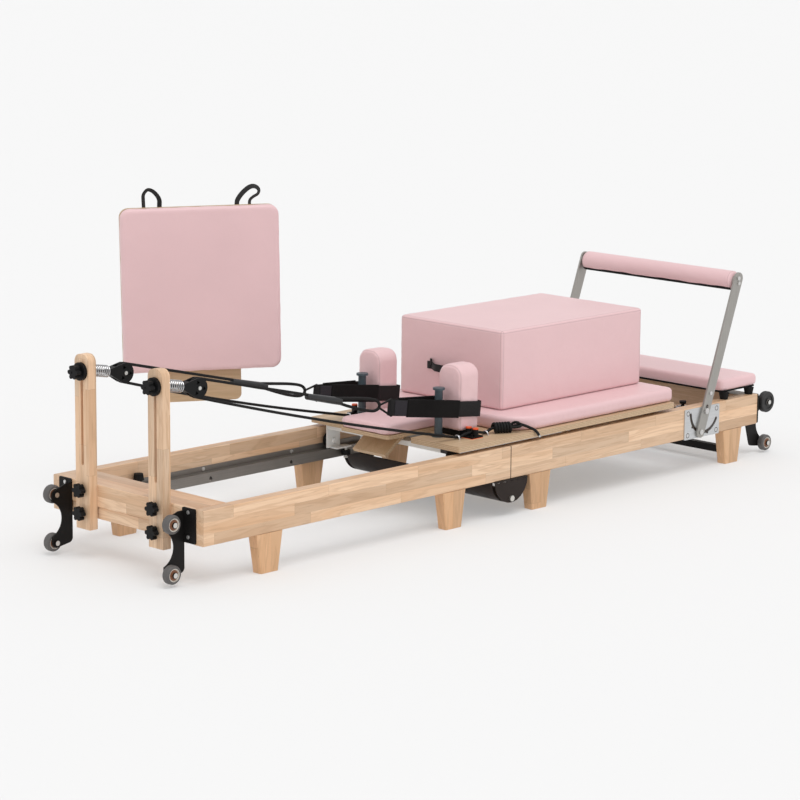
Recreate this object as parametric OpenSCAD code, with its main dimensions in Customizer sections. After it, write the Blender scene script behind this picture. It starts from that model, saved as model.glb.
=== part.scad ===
// Folding pilates reformer for home use, with its box, standing platform and jump board.
// X runs from the pulley end to the footbar end, Y across, Z up from the floor.

/* [Frame] */
// Length of the wooden frame
frame_l = 2300; // [2200:10:2400]
// Width over the outer faces of the rails
frame_w = 600; // [600:5:640]
// Height of the top of the rails above the floor
rail_top = 200; // [190:1:220]
// Height of the rail section
rail_h = 94; // [90:1:98]
// Thickness of the rail section
rail_t = 36; // [34:1:38]
// Place where the frame parts in two
split_x = 1160; // [1150:1:1170]
// Depth of the plank that closes the head end
head_plank_d = 109; // [90:1:120]
// Depth of the plank that closes the foot end
foot_plank_d = 60; // [40:1:70]

/* [Legs and fold] */
// Length of a leg along the rail at its root
leg_root = 92; // [80:1:96]
// Length of a leg along the rail at the floor
leg_tip = 62; // [50:1:70]
// Height of the fold axis above the floor
fold_z = 50; // [48:1:51]
// Radius of the half-round hinge plates
hinge_r = 68; // [62:1:70]

/* [Pulley posts] */
// Distance of a post from the centre line
post_y = 146; // [140:1:160]
// Width of a post
post_w = 56; // [50:1:60]
// Thickness of a post
post_t = 26; // [22:1:28]
// Height of the foot of a post
post_z0 = 80; // [70:1:95]
// Height of the top of a post
post_z1 = 548; // [530:1:560]
// Height at which the pulleys are clamped
pulley_z = 503; // [480:1:515]
// Slope of the pulleys towards the carriage, degrees
pulley_dip = 10.3; // [8:0.1:12]
// Reach of a pulley from the face of its post
pulley_reach = 117; // [105:1:125]

/* [Carriage] */
// Head end of the carriage deck
deck_x0 = 950; // [900:5:1000]
// Foot end of the carriage deck
deck_x1 = 1896; // [1850:1:1900]
// Half width of the deck
deck_hw = 296; // [280:1:298]
// Height of the underside of the deck
deck_z = 210; // [208:1:212]
// Thickness of the deck
deck_t = 16; // [12:1:18]
// Thickness of the carriage pad
pad_t = 42; // [36:1:46]
// Radius of the running wheels
runner_r = 24; // [20:1:26]
// Height of the running surface of the tracks
track_z = 136; // [130:1:140]

/* [Footbar and platform] */
// Place of the footbar pivot along the frame
bar_x = 2032; // [2000:1:2060]
// Height of the footbar pivot
bar_z = 184; // [178:1:188]
// Length of an arm from the pivot to the bar
bar_l = 408; // [380:1:430]
// Lean of the footbar towards the foot end, degrees
bar_lean = 20; // [10:1:30]
// Diameter of the padded bar
bar_d = 60; // [50:1:64]
// Height of the top of the standing platform
platform_z = 262; // [254:1:266]

/* [Box and jump board] */
// Length of the sitting box
box_l = 628; // [600:2:640]
// Width of the sitting box
box_w = 408; // [380:2:420]
// Height of the sitting box
box_h = 232; // [210:1:240]
// Width of the jump board pad
jump_w = 454; // [440:1:470]
// Height of the jump board pad
jump_h = 471; // [460:1:490]

/* [Cords] */
// Diameter of the ropes
rope_d = 8; // [6:0.5:9]
// Thickness of the webbing
web_t = 4; // [3:0.5:5]

/* [Hidden] */
$fn = 96;

hw = frame_w / 2;
inner = hw - rail_t;
rail_bot = rail_top - rail_h;
split_gap = 1;
leg_x = [230, 929, 1287, 2180];
deck_top = deck_z + deck_t;
pad_top = deck_top + pad_t;
pad_hw = 282;
pad_x1 = deck_x1 + 22;
pad_x0 = 1113;
notch_x = 1196;
notch_r = 112;
head_wheel_x = -55;
head_wheel_z = [164, 33];
head_wheel_y = 239;
foot_wheel_x = frame_l + 85;
foot_wheel_z = [160, 30];
foot_wheel_y = 269;
wheel_r = 25;
big_wheel_r = 33;
axle_r = 4;
run_fit = 0.06;
lip_y = inner - 24;
runner_y = 251;
runner_z = track_z + runner_r + 0.3;
runner_x = [985, 1850];
guide_r = 14;
guide_y = lip_y - guide_r - 0.3;
rest_x = 1090;
rest_y = 160;
rest_z = [deck_top + 16, 428];
rest_t = 78;
rest_w = 88;
peg_x = 1017;
peg_y = 152;
box_x = 1258;
box_y = 33;
headrest_x = [868, 1108];
headrest_axis = [1112, 269];
prop_axis = [958, 218];
spring_ys = [-208, -104, 0, 104, 208];
spring_bar_x = 2046;
plate_screw_x = [1954, 2092];
plate_screw_z = [117, 184];
knob_z = [124, 186];
jump_at = [644, 425, 616];
jump_turn = -34.7;
jump_roll = -1.1;

// The pieces are placed from the head end of the frame on its centre line. The whole
// model is then moved so that the origin is under the middle of its outer box.
jump_reach = (jump_w / 2 - 28) * cos(jump_roll) - (jump_h / 2 - 28) * sin(jump_roll) + 26;
jump_far_y = jump_at[1] - jump_reach * sin(jump_turn) + 50 * cos(jump_turn);
center_x = (head_wheel_x - wheel_r + foot_wheel_x + big_wheel_r) / 2;
center_y = (jump_far_y - hw - 15) / 2;

module placed() translate([-center_x, -center_y, 0]) children();
module both_sides() for (s = [-1, 1]) scale_y(s) children();
module scale_y(s) if (s > 0) children(); else mirror([0, 1, 0]) children();

// A cylinder along X, Y or Z that starts at a point.
module rod_x(at, r, l) translate(at) rotate([0, 90, 0]) cylinder(r = r, h = l);
module rod_y(at, r, l) translate(at) rotate([-90, 0, 0]) cylinder(r = r, h = l);
module rod_z(at, r, l) translate(at) cylinder(r = r, h = l);

// A 2D rectangle between two corners with round corners.
module soft_rect(a, b, r) {
    translate(a + [r, r])
        offset(r = r, $fn = 24)
            square(b - a - [2 * r, 2 * r]);
}

// An upright profile in X and Z, extruded across Y.
module along_y(y, w) translate([0, y + w, 0]) rotate([90, 0, 0]) linear_extrude(w) children();
// A profile in Y and Z, extruded along X.
module along_x(x, l) translate([x, 0, 0]) rotate([90, 0, 90]) linear_extrude(l) children();

// A cushion with its upright edges rounded and its top and bottom edges chamfered.
module cushion(a, b, r, c) {
    size = b - a;
    hull() {
        translate([a[0], a[1], a[2] + c])
            linear_extrude(size[2] - 2 * c) soft_rect([0, 0], [size[0], size[1]], r);
        translate([a[0], a[1], a[2]])
            linear_extrude(size[2]) soft_rect([c, c], [size[0] - c, size[1] - c], r);
    }
}

// Tube swept along a list of points, in rings of `sides` corners; `ref` is a direction
// that the route never runs along.
function unit(v) = v / norm(v);
function heading(p, i) =
    i == 0 ? unit(p[1] - p[0])
    : i == len(p) - 1 ? unit(p[i] - p[i - 1])
    : unit(unit(p[i + 1] - p[i]) + unit(p[i] - p[i - 1]));
function ring(p, i, r, sides, ref) =
    let (t = heading(p, i),
         side = unit(cross(t, ref)),
         up = cross(side, t))
    [for (k = [0 : sides - 1]) p[i] + r * (cos(360 * k / sides) * side + sin(360 * k / sides) * up)];
module swept(p, r, sides, ref = [0, 0, 1]) {
    n = len(p);
    polyhedron(
        points = [for (i = [0 : n - 1]) each ring(p, i, r, sides, ref)],
        faces = concat(
            [[for (k = [sides - 1 : -1 : 0]) k]],
            [for (i = [0 : n - 2], k = [0 : sides - 1])
                let (a = i * sides, b = (k + 1) % sides) [a + k, a + sides + b, a + sides + k]],
            [for (i = [0 : n - 2], k = [0 : sides - 1])
                let (a = i * sides, b = (k + 1) % sides) [a + k, a + b, a + sides + b]],
            [[for (k = [0 : sides - 1]) (n - 1) * sides + k]]),
        convexity = 8);
}
// Points of a coil along X.
function coil(x0, x1, r, turns, per_turn) =
    [for (i = [0 : turns * per_turn])
        let (a = 360 * i / per_turn)
        [x0 + (x1 - x0) * i / (turns * per_turn), r * cos(a), r * sin(a)]];

/* ---- wooden frame ---- */

module rail_pair(x0, x1) {
    both_sides()
        along_x(x0, x1 - x0) soft_rect([inner, rail_bot], [hw, rail_top], 3);
}

module head_rails() color("burlywood") placed() rail_pair(0, split_x - split_gap / 2);
module foot_rails() color("burlywood") placed()
    difference() {
        rail_pair(split_x + split_gap / 2, frame_l);
        both_sides() {
            rod_y([bar_x, hw - 10, bar_z], 6 + run_fit, 12);
            for (x = plate_screw_x, z = plate_screw_z)
                rod_y([x, hw - 10, z], 3, 12);
        }
    }

module head_end_rails() color("wheat") placed()
    difference() {
        union() {
            along_y(-inner, 2 * inner) soft_rect([0, rail_bot + 34], [head_plank_d, rail_top], 3);
            along_y(-inner, 2 * inner) soft_rect([5, rail_bot], [76, rail_bot + 33.6], 3);
        }
        both_sides()
            for (z = knob_z)
                rod_x([-1, post_y, z], 4.9, 26);
    }

module foot_end_rail() color("burlywood") placed()
    along_y(-inner, 2 * inner)
        soft_rect([frame_l - foot_plank_d, rail_bot], [frame_l, rail_top], 3);

// Tapered legs flush with the outer faces of the rails.
module leg(x) {
    both_sides()
        translate([x, inner + rail_t / 2, 0])
            hull() {
                translate([0, 0, rail_bot - 1])
                    linear_extrude(1) soft_rect([-leg_root / 2, -rail_t / 2], [leg_root / 2, rail_t / 2], 4);
                linear_extrude(1) soft_rect([-leg_tip / 2, -rail_t / 2 + 3], [leg_tip / 2, rail_t / 2 - 1], 4);
            }
}
module head_legs() color("burlywood") placed() {
    leg(leg_x[0]);
    leg(leg_x[1]);
}
module foot_legs() color("burlywood") placed() {
    leg(leg_x[2]);
    leg(leg_x[3]);
}

// Track section: wall flange, running surface and a lip that the guide rollers follow.
module track_section() {
    t = 2.5;
    translate([inner - t, track_z - t]) square([t, 18]);
    translate([lip_y, track_z - t]) square([inner - lip_y, t]);
    translate([lip_y, rail_bot + 1]) square([t, track_z - rail_bot - 1]);
}
module track_pair(x0, x1, holes) {
    both_sides()
        difference() {
            along_x(x0, x1 - x0) track_section();
            for (x = holes)
                rod_y([x, lip_y - 5, rail_bot + 13], 6, 12);
        }
}
module head_tracks() color("silver") placed() track_pair(head_plank_d + 1, split_x - 1, [510, 820]);
module foot_tracks() color("silver") placed() track_pair(split_x + 1, 2010, [1500, 1810]);

module bumpers() color("black") placed()
    both_sides()
        translate([252, 247, track_z]) {
            cylinder(r = 9, h = 18);
            translate([0, 0, 17]) cylinder(r1 = 15, r2 = 12.5, h = 18);
        }

/* ---- posts and pulleys ---- */

module posts() color("wheat") placed()
    both_sides()
        translate([-post_t, post_y, 0])
            difference() {
                along_x(0, post_t)
                    soft_post();
                along_x(-1, post_t + 2)
                    soft_rect([-5, 252], [5, 524], 4.9);
                for (z = knob_z)
                    rod_x([-1, 0, z], 5, post_t + 2);
            }
module soft_post() {
    hull() {
        translate([-post_w / 2, post_z0]) square([post_w, 10]);
        for (s = [-1, 1])
            translate([s * (post_w / 2 - 22), post_z1 - 22]) circle(r = 22);
    }
}

// Star grip with six lobes, its face towards the head end.
module star_grip(r) {
    rod_x([-22, 0, 0], r * 0.72, 15);
    for (k = [0 : 5])
        rod_x([-22, r * 0.72 * cos(60 * k), r * 0.72 * sin(60 * k)], r * 0.3, 15);
    rod_x([-7, 0, 0], r * 0.5, 6.9);
}
module post_knobs() color("black") placed()
    both_sides()
        for (z = knob_z)
            translate([-post_t, post_y, z]) {
                star_grip(19);
                rod_x([-6, 0, 0], 4.9, post_t + 25);
            }

// Clamp disc on the face of the post with a star grip in front.
module adjuster(s) {
    translate([-post_t, s * post_y, pulley_z]) {
        difference() {
            union() {
                rod_x([-9.5, 0, 0], 24, 9.3);
                translate([-9, 0, 0]) star_grip(19);
            }
            rod_x([-40, 0, 0], axle_r + run_fit, 50);
        }
    }
}
module adjuster_near() color("black") placed() adjuster(-1);
module adjuster_far() color("black") placed() adjuster(1);

module dipped(s) translate([0, s * post_y, pulley_z]) rotate([0, pulley_dip, 0]) children();

module pulley_springs() color("silver") placed()
    for (s = [-1, 1])
        dipped(s)
            swept(coil(10, 62, 15, 8, 14), 1.8, 6, [1, 0, 0]);

// Sheave cheeks joined behind the wheel, on a stem that runs back through the post.
module pulley_blocks() color("dimgray") placed()
    for (s = [-1, 1]) {
        dipped(s) {
            for (t = [-1, 1])
                along_y(t * 10 - 2, 4)
                    difference() {
                        cheek();
                        for (a = [0, 120, 240])
                            translate([pulley_reach, 0])
                                rotate(a)
                                    translate([16, 0]) circle(r = 7, $fn = 3);
                    }
            along_y(-9, 18)
                intersection() {
                    cheek();
                    translate([60, -30]) square([22, 60]);
                }
            rod_x([3, 0, 0], 3, 62);
            rod_y([pulley_reach, -14, 0], 5, 28);
        }
        rod_x([-56, s * post_y, pulley_z], axle_r, 58);
        rod_x([0.3, s * post_y, pulley_z], 13, 4);
    }

module cheek()
    hull() {
        translate([pulley_reach, 0]) circle(r = 27);
        translate([70, 0]) circle(r = 9);
    }

module pulley_sheaves() color("black") placed()
    for (s = [-1, 1])
        dipped(s)
            translate([pulley_reach, 0, 0])
                rotate([90, 0, 0])
                    rotate_extrude()
                        difference() {
                            translate([5 + run_fit, -7]) square([21, 14]);
                            translate([24.5, 0]) circle(r = 4.6);
                        }

/* ---- transport wheels ---- */

// Caster wheel on an axle along Y: round tyre, recessed hub and a bore.
module caster(x, y, z, r, w) {
    translate([x, y, z])
        rotate([-90, 0, 0])
            rotate_extrude()
                difference() {
                    translate([axle_r + run_fit, -w / 2])
                        soft_disc_section(r - axle_r - run_fit, w);
                    for (t = [-1, 1])
                        translate([r * 0.36, t * w / 2 - (t > 0 ? 2.5 : 0)]) square([r * 0.28, 2.5]);
                }
}
module soft_disc_section(l, w) {
    square([l - 6, w]);
    translate([0, 0]) intersection() {
        square([l, w]);
        hull() {
            translate([l - 6, 6]) circle(r = 6, $fn = 32);
            translate([l - 6, w - 6]) circle(r = 6, $fn = 32);
        }
    }
}
module caster_pair(x, y, z, r) both_sides() caster(x, y, z, r, 22);

module head_wheels_top() color("gray") placed()
    caster_pair(head_wheel_x, head_wheel_y, head_wheel_z[0], wheel_r);
module head_wheels_low() color("gray") placed()
    caster_pair(head_wheel_x, head_wheel_y, head_wheel_z[1], wheel_r);
module foot_wheels_top() color("black") placed()
    caster_pair(foot_wheel_x, foot_wheel_y, foot_wheel_z[0], big_wheel_r);
module foot_wheels_low() color("gray") placed()
    caster_pair(foot_wheel_x, foot_wheel_y, foot_wheel_z[1], wheel_r);

// Bent plate: a flange on the end face and an arm that carries two wheels outside it. The
// arm is hollowed by an arc between the wheels; its lower end stands `toe` off the face.
module bracket(face_x, wheel_x, wheel_z, wheel_y, toe, bite) {
    dir = sign(wheel_x - face_x);
    arm_y = wheel_y - 17;
    reach = abs(wheel_x - face_x);
    translate([face_x, 0, 0])
        scale_x(dir) {
            along_x(0, 4) soft_rect([arm_y, rail_bot + 2], [arm_y + 50, rail_top], 5);
            along_y(arm_y, 4) {
                difference() {
                    hull() {
                        translate([reach, wheel_z[0]]) circle(r = 13);
                        translate([0, rail_bot + 2]) square([20, rail_top - rail_bot - 12]);
                        translate([toe + 14, wheel_z[1] + 8]) circle(r = 14);
                        translate([reach, wheel_z[1]]) circle(r = 13);
                    }
                    translate([reach + 30, (wheel_z[0] + wheel_z[1]) / 2]) circle(r = bite);
                }
                for (z = wheel_z)
                    translate([reach, z]) circle(r = 13);
            }
            for (z = wheel_z) {
                rod_y([reach, arm_y - 3, z], axle_r, 34);
                rod_y([reach, arm_y + 29, z], 8, 4);
                rod_y([reach, arm_y - 5, z], 8, 5);
            }
        }
}
module scale_x(s) if (s > 0) children(); else mirror([1, 0, 0]) children();

module head_brackets() color("black") placed()
    both_sides() bracket(0, head_wheel_x, head_wheel_z, head_wheel_y, 0, 50);
module foot_brackets() color("black") placed() {
    both_sides() bracket(frame_l, foot_wheel_x, foot_wheel_z, foot_wheel_y, 22, 60);
    both_sides()
        along_y(225, 4)
            polygon([[2262, rail_bot], [2298, rail_bot], [2298, rail_bot - 8], [2262, rail_bot - 46]]);
}

/* ---- fold hinge ---- */

// Half-round outer plates under the head rails and the sheet that spans between them.
module head_hinge() color("dimgray") placed() {
    both_sides()
        difference() {
            union() {
                along_y(hw + 0.5, 3)
                    intersection() {
                        translate([split_x, rail_bot]) circle(r = hinge_r);
                        translate([split_x - 80, 0]) square([160, rail_bot - 0.5]);
                    }
                translate([split_x - hinge_r, inner + 2, rail_bot - 3])
                    cube([hinge_r - 2, rail_t + 1.5, 3]);
            }
            for (k = [-2 : 2])
                translate([split_x + 26 * k - 7, hw - 1, rail_bot - 6]) cube([14, 10, 1.5]);
        }
    translate([0, 290, 0])
        rotate([90, 0, 0])
            linear_extrude(580)
                difference() {
                    translate([split_x, rail_bot]) circle(r = hinge_r);
                    translate([split_x, rail_bot]) circle(r = hinge_r - 3);
                    translate([split_x - 80, rail_bot - 0.5]) square([160, 80]);
                    translate([split_x, rail_bot])
                        polygon([[0, 0], [90, -90], [90, 20], [0, 20]]);
                }
    both_sides() {
        rod_y([split_x, 286, fold_z], 5, hw + 7 - 286);
        rod_y([split_x, hw + 3.5, fold_z], 8.5, 5);
        rod_y([split_x, 284, fold_z], 7, 7);
    }
}

// Inner plates under the foot rails that turn on the hinge bolts.
module foot_hinge() color("dimgray") placed()
    both_sides()
        difference() {
            union() {
                along_y(293, 3)
                    hull() {
                        translate([split_x, fold_z]) circle(r = 8);
                        translate([split_x + 2, rail_bot - 6]) square([hinge_r - 2, 6]);
                    }
                translate([split_x + 2, inner + 2, rail_bot - 3])
                    cube([hinge_r - 2, 30, 3]);
            }
            rod_y([split_x, 280, fold_z], 5 + run_fit, 30);
        }

/* ---- screws ---- */

module dome_screw_x(at, dir) translate(at) scale_x(dir) {
    rod_x([-6, 0, 0], 3, 7);
    rod_x([0, 0, 0], 5.5, 2);
    rod_x([1, 0, 0], 4, 2.2);
}
module dome_screw_y(at) translate(at) {
    rod_y([0, -6, 0], 3, 7);
    rod_y([0, 0, 0], 5.5, 2);
    rod_y([0, 1, 0], 4, 2.2);
}
module head_screws() color("lightgray") placed()
    both_sides() {
        for (z = [124, 188])
            dome_screw_x([-4, 246, z], -1);
        for (x = [160, 500, 840, 1120])
            translate([x, inner - 2.5, track_z + 8]) mirror([0, 1, 0]) dome_screw_y([0, 0, 0]);
    }
module foot_screws() color("lightgray") placed()
    both_sides() {
        for (z = [124, 182])
            dome_screw_x([frame_l + 4, 276, z], 1);
        for (x = plate_screw_x, z = plate_screw_z) {
            rod_y([x, hw - 9, z], 3, 10.2);
            rod_y([x, hw + 1.2, z], 5.6, 1.8);
        }
        rod_y([2168, 255, 41], 3, 30);
        for (x = [1200, 1520, 1840])
            translate([x, inner - 2.5, track_z + 8]) mirror([0, 1, 0]) dome_screw_y([0, 0, 0]);
    }

/* ---- footbar ---- */

// Steel side plates with the arc slots that the lower arm bolts run in.
bolt_r = 66;
module arc_slot(a0, a1, w) {
    for (a = [a0, a1])
        translate(bolt_r * [sin(a), -cos(a)]) circle(r = w / 2);
    difference() {
        circle(r = bolt_r + w / 2);
        circle(r = bolt_r - w / 2);
        rotate(a0) translate([-200, -200]) square([200, 400]);
        rotate(a1) translate([0, -200]) square([200, 400]);
    }
}
module footbar_plates() color("lightsteelblue") placed()
    both_sides()
        difference() {
            along_y(hw, 3)
                difference() {
                    soft_rect([1938, rail_bot - 2], [2106, rail_top - 3], 4);
                    translate([bar_x, bar_z]) arc_slot(-86, 62, 10);
                    translate([bar_x, bar_z]) circle(r = 6 + run_fit);
                    for (a = [-52, 14])
                        translate([bar_x, bar_z] + 71 * [sin(a), -cos(a)]) circle(r = 5);
                }
            for (x = plate_screw_x, z = plate_screw_z) {
                rod_y([x, hw - 1, z], 3, 5);
                rod_y([x, hw + 1.2, z], 5.6, 5);
            }
        }

module on_bar() translate([bar_x, 0, bar_z]) rotate([0, bar_lean, 0]) children();

module footbar_arms() color("darkgray") placed()
    on_bar() {
        both_sides()
            difference() {
                along_y(hw + 3.5, 6)
                    hull() {
                        translate([0, -bolt_r]) circle(r = 18);
                        translate([0, bar_l + 8]) circle(r = 19);
                    }
                along_y(hw, 12) hull() {
                    circle(r = 6.1);
                    translate([0, 14]) circle(r = 6.1);
                }
            }
        rod_y([0, -hw - 3.5, bar_l], 16, 2 * hw + 7);
    }

module footbar_pad() color("pink") placed()
    on_bar()
        difference() {
            rod_y([0, 3 - hw, bar_l], bar_d / 2, 2 * hw - 6);
            rod_y([0, -hw, bar_l], 16, 2 * hw);
        }

module footbar_bolts() color("lightgray") placed()
    on_bar()
        both_sides() {
            rod_y([0, hw - 8, 0], 6, 23);
            rod_y([0, hw + 9.7, 0], 9, 5);
            rod_y([0, hw + 0.5, -bolt_r], 4.2, 9);
            rod_y([0, hw + 9.5, -bolt_r], 8, 4);
            rod_y([0, hw + 9.5, 56], 6, 3);
            rod_y([-4, hw + 9.5, bar_l + 8], 6.5, 4);
            rod_y([3, hw + 9.5, bar_l - 6], 5.5, 4);
        }

/* ---- spring bar ---- */

module spring_bar() color("black") placed() {
    difference() {
        union() {
            translate([spring_bar_x - 16, -inner, 166]) cube([32, 2 * inner, 5]);
            for (s = [-1, 1])
                translate([spring_bar_x - 16, s * (inner - 1.5) - 1.5, 150]) cube([32, 3, 20]);
        }
        for (y = spring_ys)
            rod_z([spring_bar_x, y, 160], 3, 20);
    }
    for (y = spring_ys) {
        rod_z([spring_bar_x, y, 171], 5, 20);
        translate([spring_bar_x, y, 190]) cylinder(r1 = 9, r2 = 11, h = 4);
        rod_z([spring_bar_x, y, 194], 11, 5);
        rod_z([spring_bar_x, y, 164], 2.9, 10);
    }
}

// Square brace between the two legs at the foot end.
module cross_bar() color("black") placed()
    difference() {
        translate([2158, -264.5, 30]) cube([20, 529, 22]);
        for (s = [-1, 1])
            rod_y([2168, s * 259 - 6, 41], 3, 12);
    }

/* ---- standing platform ---- */

module platform_base() color("burlywood") placed() {
    translate([2146, -279, 221]) cube([162, 558, 5]);
    for (x = [2156, 2280], y = [-280, 280])
        translate([x, y, rail_top + 0.3]) cylinder(r1 = 12, r2 = 16, h = 21);
}
module platform_pad() color("pink") placed()
    cushion([2137, -287, 226], [2318, 287, platform_z], 20, 8);

/* ---- carriage ---- */

module deck() color("tan") placed()
    translate([0, 0, deck_z])
        linear_extrude(deck_t)
            difference() {
                soft_rect([deck_x0, -deck_hw], [deck_x1, deck_hw], 6);
                translate([deck_x0 - 1, -110]) square([111, 220]);
            }

// White cross members with wheel plates, guide arms and their axles.
module underframe() color("white") placed() {
    for (x = runner_x) {
        translate([x - 22, -240, deck_z - 14]) cube([44, 480, 14]);
        both_sides() {
            difference() {
                translate([x - 26, 236, track_z + 4]) cube([52, 4, deck_z - track_z - 4]);
                rod_y([x, 230, runner_z], 3.9, 20);
            }
            rod_y([x, 232, runner_z], axle_r, 28);
            rod_y([x, 229, runner_z], 7, 7);
            rod_y([x, 258.5, runner_z], 7, 2.5);
            translate([min(x, x + guide_dx(x)) - 10, 212, track_z + 2]) cube([60, 28, 4]);
            rod_z([x + guide_dx(x), guide_y, 106], axle_r, track_z - 101);
            rod_z([x + guide_dx(x), guide_y, 105], 7, 2.5);
        }
    }
    for (x = [1300, 1500])
        translate([x - 15, -240, deck_z - 12]) cube([30, 480, 12]);
    for (y = spring_ys)
        translate([1490, y - 6, 172]) cube([6, 12, 30]);
}
function guide_dx(x) = x < 1400 ? 40 : -40;

module runner_pair(x)
    both_sides()
        translate([x, runner_y, runner_z])
            rotate([-90, 0, 0])
                rotate_extrude() {
                    translate([axle_r + run_fit, -6]) square([runner_r - axle_r - run_fit - 3, 12]);
                    translate([runner_r - 4, -4]) square([4, 8]);
                    translate([runner_r - 4, 0]) intersection() {
                        translate([0, -6]) square([4, 12]);
                        circle(r = 6);
                    }
                }
module wheels_front() color("black") placed() runner_pair(runner_x[0]);
module wheels_rear() color("black") placed() runner_pair(runner_x[1]);

module guide_roller(x, s)
    translate([x, s * guide_y, 114])
        difference() {
            cylinder(r = guide_r, h = 14);
            translate([0, 0, -1]) cylinder(r = axle_r + run_fit, h = 20);
        }
module guide_a() color("black") placed() guide_roller(runner_x[0] + 40, -1);
module guide_b() color("black") placed() guide_roller(runner_x[0] + 40, 1);
module guide_c() color("black") placed() guide_roller(runner_x[1] - 40, -1);
module guide_d() color("black") placed() guide_roller(runner_x[1] - 40, 1);

// Resistance springs, each a closed sleeve of its coil's outer size with hooked ends.
module springs() color("silver") placed()
    for (y = spring_ys) {
        rod_x([1512, y, 180], 11, 470);
        rod_x([1497, y, 180], 3, 16);
        rod_x([1981, y, 180], 2.5, 46);
        difference() {
            translate([spring_bar_x, y, 177]) cylinder(r = 22, h = 6);
            translate([spring_bar_x, y, 170]) cylinder(r = 16, h = 20);
        }
    }

// Main pad with its head corners cut back around the shoulder rests and the cleats.
module carriage_pad() color("pink") placed()
    difference() {
        cushion([pad_x0, -pad_hw, deck_top], [pad_x1, pad_hw, pad_top], 26, 8);
        both_sides()
            translate([0, 0, deck_top - 1])
                linear_extrude(pad_t + 2)
                    difference() {
                        translate([pad_x0 - 20, 98]) square([120 + notch_r, 200]);
                        translate([notch_x + notch_r, pad_hw - notch_r]) circle(r = notch_r);
                        translate([notch_x, 60]) square([300, pad_hw - notch_r - 60]);
                        translate([notch_x + notch_r, 60]) square([300, 240]);
                    }
    }

module shoulder_rests() color("pink") placed()
    both_sides()
        along_x(rest_x - rest_t / 2, rest_t)
            hull()
                for (s = [-1, 1]) {
                    translate([rest_y + s * (rest_w / 2 - 34), rest_z[1] - 34]) circle(r = 34);
                    translate([rest_y + s * (rest_w / 2 - 10), rest_z[0] + 10]) circle(r = 10);
                }

module strap_pegs() color("slategray") placed()
    both_sides() {
        rod_z([peg_x, peg_y, deck_top], 19, 5);
        rod_z([peg_x, peg_y, deck_top], 11.5, 136);
        rod_z([peg_x, peg_y, deck_top + 134], 17, 6);
    }

// Cam cleats, the wire staples before and after them, and the plates under the rests.
module cleats() color("black") placed()
    both_sides() {
        translate([cleat_x - 22, 206, deck_top]) cube([44, 43, 6]);
        for (y = [215, 240.5])
            rod_z([cleat_x, y, deck_top + 6], 8.5, 23);
        for (at = [[1026, 216], [1130, 228]])
            translate([at[0], at[1], deck_top])
                swept(staple_route, 2.2, 8, [1, 0, 0]);
        translate([rest_x - 34, rest_y - 38, deck_top]) cube([68, 76, rest_z[0] - deck_top]);
    }
cleat_x = 1075;
staple_route = concat([[0, 10, -4], [0, 10, 0]],
    [for (a = [20 : 20 : 160]) [0, 10 * cos(a), 11 * sin(a)]],
    [[0, -10, 0], [0, -10, -4]]);

/* ---- headrest ---- */

module headrest_board() color("tan") placed()
    translate([0, 0, 227])
        linear_extrude(11) soft_rect([headrest_x[0] + 4, -95], [headrest_x[1] - 2, 95], 10);
module headrest_pad() color("pink") placed()
    cushion([headrest_x[0], -98, 238.3], [headrest_x[1], 98, headrest_axis[1]], 20, 7);
module headrest_prop() color("tan") placed()
    translate([prop_axis[0], 0, prop_axis[1]])
        rotate([0, -36, 0]) {
            translate([-78, -64, -5.5]) cube([83, 128, 11]);
            rod_y([0, -72, 0], 3, 144);
        }

/* ---- ropes and straps ---- */

// Route of a rope on the far side: strap ring, over the sheave, down to the cleat.
rope_up = [[784, 148, 343], [750, 148, 352], [700, 147, 366], [600, 147, 390],
    [500, 147, 414], [400, 147, 438], [300, 146, 462], [220, 146, 481], [160, 146, 496]];
sheave_at = [pulley_reach * cos(pulley_dip), post_y, pulley_z - pulley_reach * sin(pulley_dip)];
rope_wrap_r = 24.4;
rope_turn = [for (a = [13 : -15 : -167])
    sheave_at + rope_wrap_r * [sin(a), 0, cos(a)]];
rope_down = [[170, 148, 440], [240, 151, 420], [340, 156, 393], [440, 162, 367],
    [560, 170, 337], [680, 181, 308], [800, 192, 281], [880, 199, 264], [950, 206, 250],
    [990, 211, 241], [1026, 216, 232], [1052, 222, 238], [1075, 227.5, 241],
    [1104, 228, 237], [1130, 228, 232], [1144, 228, 237], [1156, 229, 241]];
rope_route = concat(rope_up, rope_turn, rope_down);
module ropes() color("black") placed()
    both_sides()
        swept(rope_route, rope_d / 2, 8, [0, 1, 0]);

// Spare rope wound into a hank on the deck, and the tail that leaves it.
hank_r = 16;
hank_at = [1156.5, -230, deck_top + hank_r + 0.3];
hank_l = 60;
hank_turn = -28;
module rope_hank() color("black") placed()
    translate(hank_at)
        rotate([0, 0, hank_turn])
            rod_x([0, 0, 0], hank_r, hank_l);
tail_route = [[1209, -258, 242], [1222, -265, 242], [1234, -272, 241], [1245, -280, 238],
    [1253, -288, 235], [1259, -295, 232], [1264, -301, 229], [1268, -304, 222],
    [1271, -305, 217], [1275, -305, 212]];
module rope_tail() color("black") placed()
    swept(tail_route, rope_d / 2, 8);

// Webbing loops laid around the pegs and the shoulder rests.
strap_slope = 6.5;
strap_x = 830;
strap_y = 148;
module straps() color("black") placed()
    both_sides()
        translate([strap_x, rest_y, 333])
            rotate([0, strap_slope, 0])
                translate([0, 0, -24])
                    linear_extrude(48)
                        difference() {
                            strap_outline(web_t);
                            strap_outline(0);
                        }
module strap_outline(grow)
    offset(r = grow, $fn = 24)
        hull() {
            translate([0, strap_y - rest_y]) circle(r = 6, $fn = 32);
            for (x = [217, 301.5], s = [-1, 1])
                translate([x, s * (rest_w / 2 - 2)]) circle(r = 4, $fn = 32);
        }

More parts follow.
